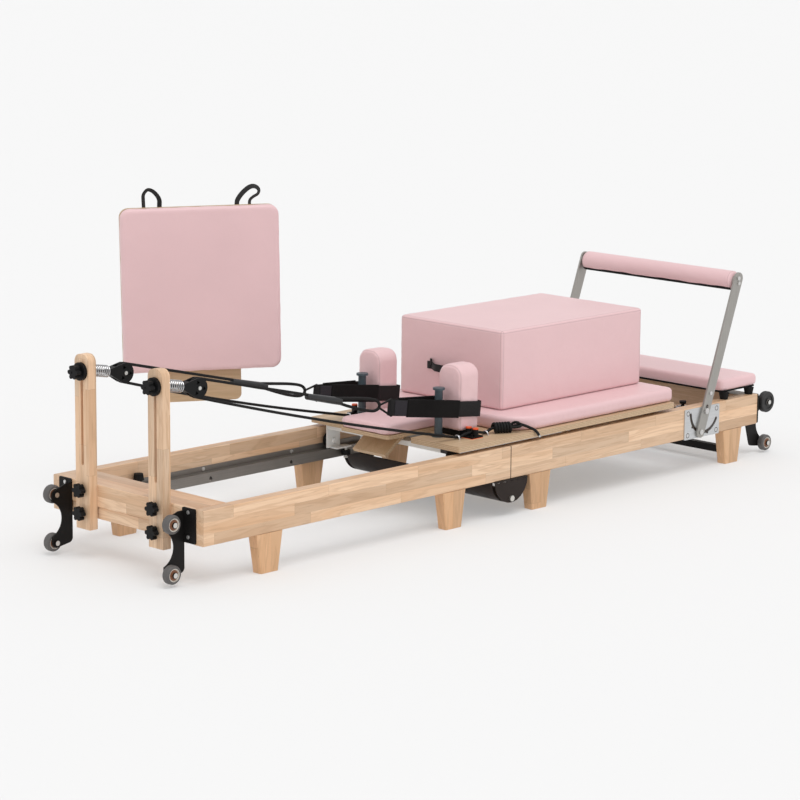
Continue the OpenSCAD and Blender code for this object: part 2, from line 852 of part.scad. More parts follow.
// Wire triangle that joins the rope's end to the strap, with the rope's clamp.
module strap_rings() color("black") placed()
    both_sides()
        translate([strap_x, strap_y, 333]) {
            rod_z([0, 0, -25], 3, 50);
            for (s = [-1, 1])
                hull() {
                    translate([0, 0, s * 23]) sphere(r = 3, $fn = 24);
                    translate([-46, 0, 9 + s * 4]) sphere(r = 3, $fn = 24);
                }
            rod_z([-46, 0, 4], 3, 10);
        }

/* ---- sitting box ---- */

module box() color("pink") placed()
    cushion([box_x, box_y - box_w / 2, pad_top + 0.3],
            [box_x + box_l, box_y + box_w / 2, pad_top + 0.3 + box_h], 10, 6);

module box_handles() color("black") placed()
    for (x = [box_x, box_x + box_l])
        translate([x, box_y, 366])
            scale_x(x > box_x ? 1 : -1) {
                translate([0, -88, -11]) cube([3, 24, 22]);
                translate([0, 64, -11]) cube([3, 24, 22]);
                translate([0, 0, -11])
                    linear_extrude(22)
                        difference() {
                            handle_bow(3);
                            handle_bow(0);
                            translate([-100, -100]) square([100, 200]);
                        }
            }
module handle_bow(t)
    hull() {
        translate([0, -70]) circle(r = 2 + t, $fn = 32);
        translate([0, 70]) circle(r = 2 + t, $fn = 32);
        translate([18, -40]) circle(r = 6 + t, $fn = 32);
        translate([18, 40]) circle(r = 6 + t, $fn = 32);
    }

/* ---- jump board ---- */

module on_jump() translate(jump_at) rotate([0, jump_roll, jump_turn]) children();

// Plywood back with the tongue that drops into the foot end of the frame.
module jump_board() color("tan") placed()
    on_jump()
        along_y(34, 16) {
            soft_rect([-jump_w / 2 + 2, -jump_h / 2 + 2], [jump_w / 2 - 2, jump_h / 2 - 2], 26);
            soft_rect([-112, -jump_h / 2 - 92], [112, 0], 18);
        }
module jump_pad() color("pink") placed()
    on_jump()
        translate([0, 34, 0])
            rotate([90, 0, 0])
                hull() {
                    linear_extrude(26)
                        soft_rect([-jump_w / 2, -jump_h / 2], [jump_w / 2, jump_h / 2], 28);
                    linear_extrude(34)
                        soft_rect([8 - jump_w / 2, 8 - jump_h / 2], [jump_w / 2 - 8, jump_h / 2 - 8], 24);
                }
module jump_loops() color("black") placed()
    on_jump()
        for (x = [-131, 131])
            along_y(50, 20)
                difference() {
                    hull() {
                        translate([x - 26, jump_h / 2 - 60]) square([52, 10]);
                        translate([x, jump_h / 2 + 22]) circle(r = 26);
                    }
                    hull() {
                        translate([x - 22.5, jump_h / 2 - 61]) square([45, 10]);
                        translate([x, jump_h / 2 + 22]) circle(r = 22.5);
                    }
                }

head_rails();
head_end_rails();
head_tracks();
head_legs();
posts();
post_knobs();
head_brackets();
head_hinge();
bumpers();
head_screws();
pulley_springs();
pulley_blocks();
pulley_sheaves();
adjuster_near();
adjuster_far();
head_wheels_top();
head_wheels_low();
foot_rails();
foot_end_rail();
foot_tracks();
foot_legs();
foot_brackets();
foot_hinge();
footbar_plates();
cross_bar();
spring_bar();
foot_screws();
foot_wheels_top();
foot_wheels_low();
footbar_arms();
footbar_pad();
footbar_bolts();
platform_base();
platform_pad();
deck();
underframe();
carriage_pad();
shoulder_rests();
strap_pegs();
cleats();
springs();
wheels_front();
wheels_rear();
guide_a();
guide_b();
guide_c();
guide_d();
headrest_board();
headrest_pad();
headrest_prop();
ropes();
rope_hank();
rope_tail();
straps();
strap_rings();
box();
box_handles();
jump_board();
jump_pad();
jump_loops();
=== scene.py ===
import math

import bmesh
import bpy
import numpy as np
from mathutils import Matrix, Vector


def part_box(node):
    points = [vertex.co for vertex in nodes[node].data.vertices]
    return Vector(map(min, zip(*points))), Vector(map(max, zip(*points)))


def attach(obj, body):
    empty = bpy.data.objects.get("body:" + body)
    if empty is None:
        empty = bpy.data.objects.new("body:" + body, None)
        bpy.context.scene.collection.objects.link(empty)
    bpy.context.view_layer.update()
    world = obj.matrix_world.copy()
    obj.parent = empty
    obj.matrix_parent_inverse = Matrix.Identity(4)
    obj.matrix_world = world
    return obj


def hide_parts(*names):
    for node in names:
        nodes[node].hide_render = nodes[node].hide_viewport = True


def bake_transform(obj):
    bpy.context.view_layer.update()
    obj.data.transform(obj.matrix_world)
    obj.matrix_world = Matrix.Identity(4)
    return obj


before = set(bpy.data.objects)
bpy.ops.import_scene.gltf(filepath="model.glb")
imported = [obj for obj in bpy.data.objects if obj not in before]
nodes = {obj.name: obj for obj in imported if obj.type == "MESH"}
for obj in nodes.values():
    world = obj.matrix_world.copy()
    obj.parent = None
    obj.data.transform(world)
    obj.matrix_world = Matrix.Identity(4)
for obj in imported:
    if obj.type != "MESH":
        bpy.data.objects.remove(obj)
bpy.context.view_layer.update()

# Places are given in millimetres from the head end of the wooden frame on its centre line.
rails_lo, rails_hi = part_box("head_rails")
OX, OY = rails_lo.x, (rails_lo.y + rails_hi.y) / 2


def P(x, y, z):
    return Vector((OX + x / 1000, OY + y / 1000, z / 1000))


def at_x(x):
    return OX + x / 1000


def at_y(y):
    return OY + y / 1000


def shade(colour, factor):
    return tuple(c * factor for c in colour)


# Places that several pieces share, in millimetres.
HEAD_WHEELS, FOOT_WHEELS = (-55, 0), (2385, 0)
BAR_X, BAR_Z, BAR_ARM = 2032, 184, 408
SPRING_Z, SPRING_BAR_X = 180, 2046
REST_X, REST_Y = 1090, 160
SPLIT_X, FOLD_Z = 1160, 50
PULLEY_REACH, PULLEY_Z, PULLEY_DIP = 117, 503, math.radians(10.3)
ROPE_Y, RING_X = 148, 784
HANDLE_Y, HANDLE_Z = 33, 366


# ---------------------------------------------------------------- camera

forward = Vector((0.7042, 0.6838, -0.1913)).normalized()
right = forward.cross(Vector((0, 0, 1))).normalized()
up = right.cross(forward)
roll = math.radians(0.546)
side = math.cos(roll) * right + math.sin(roll) * up
top = -math.sin(roll) * right + math.cos(roll) * up
camera = bpy.data.objects.new("camera", bpy.data.cameras.new("camera"))
bpy.context.scene.collection.objects.link(camera)
camera.data.sensor_width = 36
camera.data.lens = 126.85
camera.data.clip_end = 200
camera.matrix_world = Matrix.Translation(P(-4633.3, -5487, 1843.5)) @ Matrix(
    (side, top, -forward)
).transposed().to_4x4()
bpy.context.scene.camera = camera
bpy.context.scene.view_settings.view_transform = "Standard"


# ---------------------------------------------------------------- meshes


def add(name, mesh, material, smooth=True):
    obj = bpy.data.objects.new(name, mesh)
    bpy.context.scene.collection.objects.link(obj)
    mesh.materials.clear()
    mesh.materials.append(material)
    for poly in mesh.polygons:
        poly.use_smooth = smooth
    return obj


def grid_mesh(name, rings, caps=True, closed_u=False):
    """Mesh over rings of points, with a UV map in metres along and across."""
    count, sides = len(rings), len(rings[0])
    verts = [tuple(p) for ring in rings for p in ring]
    faces = []
    last = count if closed_u else count - 1
    for i in range(last):
        j = (i + 1) % count
        for k in range(sides):
            m = (k + 1) % sides
            faces.append((i * sides + k, i * sides + m, j * sides + m, j * sides + k))
    quads = len(faces)
    if caps and not closed_u:
        faces.append(tuple(range(sides - 1, -1, -1)))
        faces.append(tuple((count - 1) * sides + k for k in range(sides)))
    mesh = bpy.data.meshes.new(name)
    mesh.from_pydata(verts, [], faces)
    mesh.update()
    uv = mesh.uv_layers.new(name="UVMap")
    pts = np.array([[tuple(p) for p in ring] for ring in rings], float)
    centre = pts.mean(1)
    along = np.concatenate([[0], np.cumsum(np.linalg.norm(np.diff(centre, axis=0), axis=1))])
    step = np.linalg.norm(np.roll(pts[0], -1, 0) - pts[0], axis=1)
    across = np.concatenate([[0], np.cumsum(step)])
    end_u = along[-1] + np.linalg.norm(centre[-1] - centre[0])
    for f in mesh.polygons:
        if f.index >= quads:
            continue
        i, k = divmod(f.index, sides)
        u1 = along[i + 1] if i + 1 < count else end_u
        u0, v0, v1 = along[i], across[k], across[k + 1]
        for loop, place in zip(f.loop_indices, ((u0, v0), (u0, v1), (u1, v1), (u1, v0))):
            uv.data[loop].uv = place
    bm = bmesh.new()
    bm.from_mesh(mesh)
    bmesh.ops.recalc_face_normals(bm, faces=bm.faces)
    bm.to_mesh(mesh)
    bm.free()
    return mesh


def resample(points, step):
    """A smooth line through the points, with a point every `step` metres."""
    p = np.array([tuple(q) for q in points], float)
    ext = np.vstack([2 * p[0] - p[1], p, 2 * p[-1] - p[-2]])
    fine = []
    for i in range(1, len(ext) - 2):
        a, b, c, d = ext[i - 1], ext[i], ext[i + 1], ext[i + 2]
        for t in np.linspace(0, 1, 24, endpoint=False):
            fine.append(
                0.5
                * (
                    2 * b
                    + (c - a) * t
                    + (2 * a - 5 * b + 4 * c - d) * t**2
                    + (3 * b - a - 3 * c + d) * t**3
                )
            )
    fine = np.array(fine + [ext[-2]])
    run = np.concatenate([[0], np.cumsum(np.linalg.norm(np.diff(fine, axis=0), axis=1))])
    n = max(2, int(round(run[-1] / step)) + 1)
    at = np.linspace(0, run[-1], n)
    return np.stack([np.interp(at, run, fine[:, k]) for k in range(3)], 1)


def frames(path, closed=False):
    """Tangent and two directions across it at every point, carried along without twist."""
    path = np.array(path, float)
    if closed:
        tangent = np.roll(path, -1, 0) - np.roll(path, 1, 0)
    else:
        tangent = np.gradient(path, axis=0)
    tangent /= np.linalg.norm(tangent, axis=1)[:, None]
    ref = np.array([0, 0, 1.0]) if abs(tangent[0][2]) < 0.9 else np.array([1.0, 0, 0])
    n = np.cross(tangent[0], ref)
    out = []
    for t in tangent:
        n = n - t * (n @ t)
        n /= np.linalg.norm(n)
        out.append((t, n.copy(), np.cross(t, n)))
    return out


def tube(name, path, radius, sides=12, weave=0.0, lay=0.012, closed=False):
    """Round cord along a path; `weave` raises a braid of crossing strands on it."""
    rings, run = [], 0.0
    path = np.array(path, float)
    for i, (p, (t, n, b)) in enumerate(zip(path, frames(path, closed))):
        if i:
            run += np.linalg.norm(p - path[i - 1])
        ring = []
        for k in range(sides):
            a = 2 * math.pi * k / sides
            r = radius(run) if callable(radius) else radius
            if weave:
                s = 2 * math.pi * run / lay
                r += weave * (math.sin(4 * a + s) * math.sin(4 * a - s))
            ring.append(p + r * (math.cos(a) * n + math.sin(a) * b))
        rings.append(ring)
    return grid_mesh(name, rings, caps=not closed, closed_u=closed)


def outline_arc(cx, cy, r, a0, a1, n=8):
    return [
        (cx + r * math.cos(math.radians(a)), cy + r * math.sin(math.radians(a)))
        for a in np.linspace(a0, a1, n)
    ]


def round_rect(x0, y0, x1, y1, r, n=8):
    return (
        outline_arc(x1 - r, y1 - r, r, 0, 90, n)
        + outline_arc(x0 + r, y1 - r, r, 90, 180, n)
        + outline_arc(x0 + r, y0 + r, r, 180, 270, n)
        + outline_arc(x1 - r, y0 + r, r, 270, 360, n)
    )


def prism(name, outline, z0, z1, place):
    """Closed solid over an outline, in millimetres; `place` turns a local point into the frame."""
    bm = bmesh.new()
    low = [bm.verts.new(place(x, y, z0)) for x, y in outline]
    high = [bm.verts.new(place(x, y, z1)) for x, y in outline]
    n = len(outline)
    bm.faces.new(low[::-1])
    bm.faces.new(high)
    for i in range(n):
        j = (i + 1) % n
        bm.faces.new((low[i], low[j], high[j], high[i]))
    bmesh.ops.remove_doubles(bm, verts=bm.verts, dist=1e-5)
    bmesh.ops.recalc_face_normals(bm, faces=bm.faces)
    mesh = bpy.data.meshes.new(name)
    bm.to_mesh(mesh)
    bm.free()
    return mesh


def apply_modifiers(obj):
    graph = bpy.context.evaluated_depsgraph_get()
    mesh = bpy.data.meshes.new_from_object(obj.evaluated_get(graph))
    obj.modifiers.clear()
    old = obj.data
    mats = list(old.materials)
    obj.data = mesh
    mesh.materials.clear()
    for m in mats:
        mesh.materials.append(m)
    return obj


def soften(obj, bevel, voxel, smooth=2):
    """Rounds the edges of a solid, remeshes it evenly and smooths it."""
    m = obj.modifiers.new("bevel", "BEVEL")
    m.width, m.segments, m.limit_method = bevel, 5, "ANGLE"
    m.angle_limit = math.radians(35)
    m = obj.modifiers.new("remesh", "REMESH")
    m.mode, m.voxel_size = "VOXEL", voxel
    if smooth:
        m = obj.modifiers.new("smooth", "SMOOTH")
        m.iterations, m.factor = smooth, 0.5
    apply_modifiers(obj)
    for poly in obj.data.polygons:
        poly.use_smooth = True
    return obj


def coords(obj):
    co = np.empty(len(obj.data.vertices) * 3, np.float64)
    obj.data.vertices.foreach_get("co", co)
    return co.reshape(-1, 3)


def normals(obj):
    no = np.empty(len(obj.data.vertices) * 3, np.float64)
    obj.data.vertex_normals.foreach_get("vector", no)
    return no.reshape(-1, 3)


def put(obj, co):
    obj.data.vertices.foreach_set("co", co.astype(np.float32).ravel())
    obj.data.update()


def hash_noise(p, scale, seed):
    """Smooth value noise between -1 and 1 at each point."""
    q = p * scale + seed * 7.31
    i = np.floor(q).astype(np.int64)
    f = q - i
    f = f * f * (3 - 2 * f)
    total = np.zeros(len(p))
    for dx in (0, 1):
        for dy in (0, 1):
            for dz in (0, 1):
                h = (i[:, 0] + dx) * 374761393 + (i[:, 1] + dy) * 668265263
                h += (i[:, 2] + dz) * 2147483647
                h = (h ^ (h >> 13)) * 1274126177
                h = (h ^ (h >> 16)) & 0xFFFF
                w = (
                    np.where(dx, f[:, 0], 1 - f[:, 0])
                    * np.where(dy, f[:, 1], 1 - f[:, 1])
                    * np.where(dz, f[:, 2], 1 - f[:, 2])
                )
                total += w * (h / 32767.5 - 1)
    return total


def smoothstep(x):
    x = np.clip(x, 0, 1)
    return x * x * (3 - 2 * x)


# ---------------------------------------------------------------- materials


class Tree:
    """Short forms for building a node material."""

    def __init__(self, name):
        self.mat = bpy.data.materials.new(name)
        self.mat.use_nodes = True
        self.nt = self.mat.node_tree
        self.bsdf = self.nt.nodes["Principled BSDF"]
        self.coord = self.nt.nodes.new("ShaderNodeTexCoord").outputs["Object"]

    def node(self, kind, inputs=(), **props):
        n = self.nt.nodes.new(kind)
        for key, value in props.items():
            setattr(n, key, value)
        for key, value in dict(inputs).items():
            self.set(n.inputs[key], value)
        return n

    def set(self, socket, value):
        if isinstance(value, bpy.types.NodeSocket):
            self.nt.links.new(value, socket)
        else:
            socket.default_value = value

    def math(self, op, a, b=0.0, c=0.0):
        return self.node("ShaderNodeMath", {0: a, 1: b, 2: c}, operation=op).outputs[0]

    def vec(self, op, a, b=(0, 0, 0)):
        n = self.node("ShaderNodeVectorMath", {0: a, 1: b}, operation=op)
        return n.outputs["Value" if op in ("LENGTH", "DISTANCE", "DOT_PRODUCT") else "Vector"]

    def scale(self, a, factor):
        n = self.node("ShaderNodeVectorMath", {0: a}, operation="SCALE")
        self.set(n.inputs["Scale"], factor)
        return n.outputs["Vector"]

    def split(self, v):
        return self.node("ShaderNodeSeparateXYZ", {0: v}).outputs

    def join(self, x, y, z):
        return self.node("ShaderNodeCombineXYZ", {0: x, 1: y, 2: z}).outputs[0]

    def noise(self, v, scale, detail=4.0, rough=0.5, distortion=0.0):
        return self.node(
            "ShaderNodeTexNoise",
            {"Vector": v, "Scale": scale, "Detail": detail, "Roughness": rough, "Distortion": distortion},
        ).outputs["Fac"]

    def voronoi(self, v, scale, feature="F1", rand=1.0):
        return self.node(
            "ShaderNodeTexVoronoi", {"Vector": v, "Scale": scale, "Randomness": rand}, feature=feature
        ).outputs["Distance"]

    def white(self, v):
        return self.node("ShaderNodeTexWhiteNoise", {"Vector": v}).outputs

    def grade(self, fac, a0, a1, b0=0.0, b1=1.0):
        n = self.node("ShaderNodeMapRange", {0: fac, 1: a0, 2: a1, 3: b0, 4: b1})
        return n.outputs[0]

    def mix(self, fac, a, b, blend="MIX"):
        n = self.nt.nodes.new("ShaderNodeMix")
        n.data_type, n.blend_type = "RGBA", blend
        self.set(n.inputs[0], fac)
        self.set(n.inputs[6], a if isinstance(a, bpy.types.NodeSocket) else (*a, 1))
        self.set(n.inputs[7], b if isinstance(b, bpy.types.NodeSocket) else (*b, 1))
        return n.outputs[2]

    def bump(self, height, strength, distance=0.001, normal=None):
        n = self.node("ShaderNodeBump", {"Height": height, "Strength": strength, "Distance": distance})
        if normal is not None:
            self.set(n.inputs["Normal"], normal)
        return n.outputs[0]

    def finish(self, colour, rough, normal=None, metal=0.0, **extra):
        plain = not isinstance(colour, bpy.types.NodeSocket)
        self.set(self.bsdf.inputs["Base Color"], (*colour, 1) if plain else colour)
        self.set(self.bsdf.inputs["Roughness"], rough)
        self.set(self.bsdf.inputs["Metallic"], metal)
        for key, value in extra.items():
            self.bsdf.inputs[key.replace("_", " ")].default_value = value
        if normal is not None:
            self.set(self.bsdf.inputs["Normal"], normal)
        return self.mat


def speckled(name, colour, rough, grain=900.0, strength=0.12, metal=0.0, spread=0.25, **extra):
    """Moulded or coated surface: fine grain and a slow change of tone."""
    t = Tree(name)
    slow = t.noise(t.coord, 14.0, 3.0)
    fine = t.noise(t.coord, grain, 2.0)
    dark = tuple(c * (1 - spread) for c in colour)
    light = tuple(min(1, c * (1 + spread) + 0.002) for c in colour)
    tone = t.mix(slow, dark, light)
    roughness = t.grade(t.noise(t.coord, 45.0, 4.0), 0.3, 0.7, rough - 0.06, rough + 0.08)
    return t.finish(tone, roughness, t.bump(fine, strength, 0.0004), metal, **extra)


def brushed(name, colour, rough, axis, metal=0.9, strength=0.08):
    """Metal with fine lines along one axis."""
    t = Tree(name)
    stretch = [700.0, 700.0, 700.0]
    stretch["XYZ".index(axis)] = 9.0
    lines = t.noise(t.vec("MULTIPLY", t.coord, tuple(stretch)), 1.0, 4.0, 0.6)
    slow = t.noise(t.coord, 20.0, 3.0)
    tone = t.mix(slow, shade(colour, 0.9), tuple(min(1, c * 1.08) for c in colour))
    tone = t.mix(t.grade(lines, 0.35, 0.65, 0.0, 0.35), tone, shade(colour, 0.72))
    roughness = t.grade(lines, 0.3, 0.7, rough - 0.08, rough + 0.1)
    return t.finish(tone, roughness, t.bump(lines, strength, 0.0003), metal)


def wood(name, grain, length, widths, offsets, light, dark, seed=0.0, tones=0.24):
    """Solid wood glued up from blocks: each block has its own tone and figure, with fine joints."""
    t = Tree(name)
    axes = t.split(t.coord)
    g = "XYZ".index(grain)
    others = [i for i in range(3) if i != g]
    along, a, b = axes[g], axes[others[0]], axes[others[1]]
    rows = [t.math("ADD", t.math("DIVIDE", v, w), o) for v, w, o in zip((a, b), widths, offsets)]
    ra, rb = (t.math("FLOOR", r) for r in rows)
    shift = t.white(t.join(ra, rb, seed))[0]
    place = t.math("ADD", t.math("DIVIDE", along, length), t.math("MULTIPLY", shift, 3.0))
    block = t.math("FLOOR", place)
    ident = t.white(t.join(t.math("ADD", t.math("MULTIPLY", ra, 3.7), block), rb, seed + 0.5))
    value, colour = ident[0], ident[1]
    jitter = t.scale(colour, 9.0)
    coords = [0, 0, 0]
    coords[g], coords[others[0]], coords[others[1]] = (
        t.math("MULTIPLY", along, 2.2),
        t.math("MULTIPLY", a, 24.0),
        t.math("MULTIPLY", b, 24.0),
    )
    figure = t.vec("ADD", t.join(*coords), jitter)
    rings = t.noise(figure, 1.0, 3.0, 0.55, 0.6)
    bands = t.math("SINE", t.math("MULTIPLY", rings, 46.0))
    coords[g], coords[others[0]], coords[others[1]] = (
        t.math("MULTIPLY", along, 14.0),
        t.math("MULTIPLY", a, 420.0),
        t.math("MULTIPLY", b, 420.0),
    )
    pores = t.noise(t.vec("ADD", t.join(*coords), jitter), 1.0, 3.0, 0.6)
    tone = t.mix(t.grade(rings, 0.3, 0.7), light, dark)
    tone = t.mix(t.grade(bands, 0.2, 1.0, 0.0, 0.42), tone, shade(dark, 0.84))
    tone = t.mix(t.grade(pores, 0.56, 0.72, 0.0, 0.5), tone, shade(dark, 0.66))
    level = t.grade(value, 0.0, 1.0, 1 - tones, 1.06)
    tone = t.mix(1.0, tone, t.join(level, level, level), "MULTIPLY")
    warm = t.grade(t.split(colour)[1], 0.0, 1.0, 0.0, 0.35)
    tone = t.mix(warm, tone, t.mix(1.0, tone, (1.0, 0.9, 0.8), "MULTIPLY"))
    end = t.math("MULTIPLY", t.math("FRACT", place), length)
    seam = t.math("LESS_THAN", t.math("MINIMUM", end, t.math("SUBTRACT", length, end)), 0.0004)
    for row, w in zip(rows, widths):
        f = t.math("MULTIPLY", t.math("FRACT", row), w)
        edge = t.math("LESS_THAN", t.math("MINIMUM", f, t.math("SUBTRACT", w, f)), 0.00022)
        seam = t.math("MAXIMUM", seam, t.math("MULTIPLY", edge, 0.6))
    tone = t.mix(t.math("MULTIPLY", seam, 0.35), tone, (0.22, 0.11, 0.045))
    rough = t.grade(pores, 0.3, 0.7, 0.36, 0.5)
    return t.finish(tone, rough, t.bump(pores, 0.06, 0.0004), Coat_Weight=0.12, Coat_Roughness=0.25)


def plywood(name, turn=0.0, across="Z", ply=0.0023, light=(0.64, 0.46, 0.29), dark=(0.50, 0.34, 0.20)):
    """Face veneer with long grain, and plies of changing tone on every edge."""
    t = Tree(name)
    v = t.coord
    if turn:
        spin = t.node("ShaderNodeVectorRotate", {"Vector": v, "Angle": turn}, rotation_type="Z_AXIS")
        v = spin.outputs[0]
    x, y, z = t.split(v)
    if across == "Y":
        x, y, z = x, z, y

    def stretched(along, over):
        return t.join(t.math("MULTIPLY", x, along), *(t.math("MULTIPLY", a, over) for a in (y, z)))

    face = t.noise(stretched(3.0, 34.0), 1.0, 4.0, 0.6, 0.5)
    fine = t.noise(stretched(16.0, 400.0), 1.0, 2.0)
    tone = t.mix(t.grade(face, 0.3, 0.7), light, dark)
    tone = t.mix(t.grade(fine, 0.5, 0.75, 0.0, 0.4), tone, shade(dark, 0.75))
    layer = t.math("FRACT", t.math("DIVIDE", z, ply * 2))
    odd = t.math("GREATER_THAN", layer, 0.5)
    edge = t.mix(odd, shade(light, 0.98), shade(dark, 0.98))
    pits = t.grade(t.noise(v, 260.0, 4.0, 0.7), 0.4, 0.75, 0.0, 0.5)
    edge = t.mix(pits, edge, shade(dark, 0.6))
    n = t.node("ShaderNodeNewGeometry").outputs["Normal"]
    if across == "Z":
        flat = t.math("ABSOLUTE", t.split(n)[2])
    else:
        flat = t.math("ABSOLUTE", t.vec("DOT_PRODUCT", n, (math.sin(turn), math.cos(turn), 0)))
    tone = t.mix(t.math("GREATER_THAN", flat, 0.7), edge, tone)
    rough = t.grade(fine, 0.3, 0.7, 0.42, 0.56)
    return t.finish(tone, rough, t.bump(fine, 0.08, 0.0004), Coat_Weight=0.06, Coat_Roughness=0.3)


def leatherette(name, colour, seed=0.0, seams=()):
    """Coated cloth with pebbled grain, soft creases and seams along planes (axis, place), with painted
    shade darkening each seam's groove.
    """
    t = Tree(name)
    v = t.vec("ADD", t.coord, (seed, seed * 0.7, 0))
    drift = t.node("ShaderNodeTexNoise", {"Vector": v, "Scale": 160.0}).outputs["Color"]
    warp = t.vec("ADD", v, t.scale(drift, 0.0012))
    cells = t.voronoi(warp, 780.0, "SMOOTH_F1")
    fine = t.noise(v, 1500.0, 2.0)
    crease = t.noise(v, 26.0, 4.0, 0.55, 0.8)
    slow = t.noise(v, 6.0, 3.0)
    tone = t.mix(slow, shade(colour, 0.95), tuple(min(1, c * 1.04) for c in colour))
    tone = t.mix(t.grade(cells, 0.45, 0.75, 0.0, 0.16), tone, shade(colour, 0.8))
    normal = t.bump(crease, 0.05, 0.006)
    normal = t.bump(t.math("ADD", cells, t.math("MULTIPLY", fine, 0.3)), 0.16, 0.0004, normal)
    axes = t.split(t.coord)
    for axis, place in seams:
        off = t.math("ABSOLUTE", t.math("SUBTRACT", axes[axis], place))
        # Painted shade: the colour is darkened along each seam's groove.
        seam_shade = t.grade(off, 0.0003, 0.0019, 1.0, 0.0)
        tone = t.mix(t.math("MULTIPLY", seam_shade, 0.34), tone, shade(colour, 0.45))
        normal = t.bump(t.grade(off, 0.0, 0.0030), 0.5, 0.0012, normal)
    rough = t.grade(fine, 0.3, 0.7, 0.38, 0.52)
    return t.finish(tone, rough, normal, Sheen_Weight=0.12, Sheen_Roughness=0.4)


def webbing(name, colour, rib=0.0022, rough=0.62):
    """Woven tape: ribs across its length and a fine yarn along it."""
    t = Tree(name)
    uv = t.node("ShaderNodeTexCoord").outputs["UV"]
    u, v, _ = t.split(uv)
    row = t.math("SINE", t.math("MULTIPLY", u, 2 * math.pi / rib))
    half = t.math("FLOOR", t.math("DIVIDE", v, rib))
    turn = t.math("MULTIPLY", t.math("MODULO", half, 2.0), math.pi)
    twill = t.math("SINE", t.math("ADD", t.math("MULTIPLY", u, 2 * math.pi / rib), turn))
    warp = t.math("SINE", t.math("MULTIPLY", v, 2 * math.pi / (rib * 0.5)))
    yarn = t.math("ADD", t.math("MULTIPLY", warp, 0.4), t.math("MULTIPLY", row, 0.2))
    height = t.math("ADD", t.math("MULTIPLY", twill, 0.6), yarn)
    fuzz = t.noise(t.coord, 700.0, 3.0)
    # Painted highlight and shade: the tone follows the weave's height, lighter on the raised yarn and
    # darker in its hollows.
    tone = t.mix(t.grade(height, -1.0, 1.0), shade(colour, 0.55), shade(colour, 1.5))
    tone = t.mix(t.grade(fuzz, 0.55, 0.8, 0.0, 0.3), tone, tuple(c * 2.2 + 0.01 for c in colour))
    return t.finish(tone, rough, t.bump(height, 0.35, 0.0005), Specular_IOR_Level=0.25)


def wheel(name, centre, radii, colours, rough):
    """Colours in rings around the wheel's own axle line, which runs along Y."""
    t = Tree(name)
    x, _, z = t.split(t.coord)
    squares = [t.math("POWER", t.math("SUBTRACT", v, centre[i]), 2.0) for i, v in ((0, x), (2, z))]
    d = t.math("SQRT", t.math("ADD", *squares))
    tone = colours[0]
    for r, c in zip(radii, colours[1:]):
        tone = t.mix(t.math("GREATER_THAN", d, r), tone, c)
    scuff = t.noise(t.coord, 180.0, 5.0, 0.7)
    tone = t.mix(t.grade(scuff, 0.55, 0.8, 0.0, 0.3), tone, (0.2, 0.19, 0.18))
    roughness = t.grade(scuff, 0.3, 0.7, rough - 0.08, rough + 0.1)
    return t.finish(tone, roughness, t.bump(scuff, 0.1, 0.0004))


DULL = {"Specular_IOR_Level": 0.13}
LIGHT, DARK = (0.90, 0.66, 0.46), (0.73, 0.46, 0.27)
LEG_LIGHT, LEG_DARK = (0.76, 0.48, 0.28), (0.63, 0.37, 0.19)
BLOCK, ROW_START = (0.05, 0.0315), -105.7 / 31.5
rails = wood("rubberwood_rails", "X", 0.34, BLOCK, (0.1, ROW_START), LIGHT, DARK)
end_rails = wood("rubberwood_cross", "Y", 0.30, BLOCK, (0.25, ROW_START), LIGHT, DARK, 2.0)
legs = wood("rubberwood_legs", "Z", 0.6, (0.046, 0.05), (0.3, 0.1), LEG_LIGHT, LEG_DARK, 4.0, 0.16)
post_wood = wood("rubberwood_posts", "Z", 0.23, (0.05, 0.028), (0.45, 0.35), LIGHT, DARK, 6.0)
birch = plywood("birch_ply")
board_ply = plywood("board_ply", math.radians(34.7), "Y")
black_steel = speckled("black_powder_coat", (0.010, 0.009, 0.0085), 0.42, 1400.0, 0.1, **DULL)
dark_plate = speckled("brown_black_plate", (0.026, 0.018, 0.015), 0.38, 1400.0, 0.08, **DULL)
white_steel = speckled("white_powder_coat", (0.78, 0.78, 0.76), 0.4, 1400.0, 0.08, spread=0.04)
black_plastic = speckled("black_plastic", (0.008, 0.008, 0.0085), 0.42, 1100.0, 0.12, **DULL)
peg_plastic = speckled("blue_grey_plastic", (0.058, 0.083, 0.10), 0.4, 1000.0, 0.08)
rubber = speckled("black_rubber", (0.011, 0.0105, 0.0105), 0.7, 700.0, 0.2, **DULL)
zinc = brushed("zinc_plate", (0.62, 0.63, 0.64), 0.34, "X", 0.85)
bolt_steel = speckled("bolt_steel", (0.62, 0.61, 0.6), 0.28, 800.0, 0.05, 0.9, 0.1)
spring_steel = speckled("spring_steel", (0.55, 0.55, 0.56), 0.25, 900.0, 0.05, 1.0, 0.12)
track_steel = brushed("track_steel", (0.27, 0.25, 0.23), 0.4, "X", 0.8)
arm_metal = brushed("arm_aluminium", (0.40, 0.385, 0.36), 0.42, "Z", 0.75, 0.12)
PINK = (0.785, 0.532, 0.545)
pink = leatherette("pink_leatherette", PINK)
box_seams = [(0, at_x(1266)), (0, at_x(1878)), (1, at_y(-163)), (1, at_y(229)), (2, 0.4925)]
rest_seams = [(0, at_x(REST_X + d)) for d in (-35.5, 35.5)]
pink_box = leatherette("pink_leatherette_box", PINK, 3.0, box_seams)
pink_rest = leatherette("pink_leatherette_rest", PINK, 5.0, rest_seams)
pink_bar = leatherette("pink_leatherette_bar", PINK, 7.0, [(1, at_y(y)) for y in (-288, 288)])
tape = webbing("black_webbing", (0.009, 0.008, 0.0085))
rope_mat = webbing("black_braid", (0.009, 0.0085, 0.0085), 0.0032, 0.7)
sleeve_mat = speckled("shrink_sleeve", (0.012, 0.012, 0.0135), 0.36, 300.0, 0.1)
velcro = speckled("closure_tape", (0.006, 0.006, 0.006), 0.85, 1800.0, 0.35, **DULL)
lining_mat = speckled("strap_sleeve", (0.0075, 0.0065, 0.0065), 0.8, 1500.0, 0.3, **DULL)
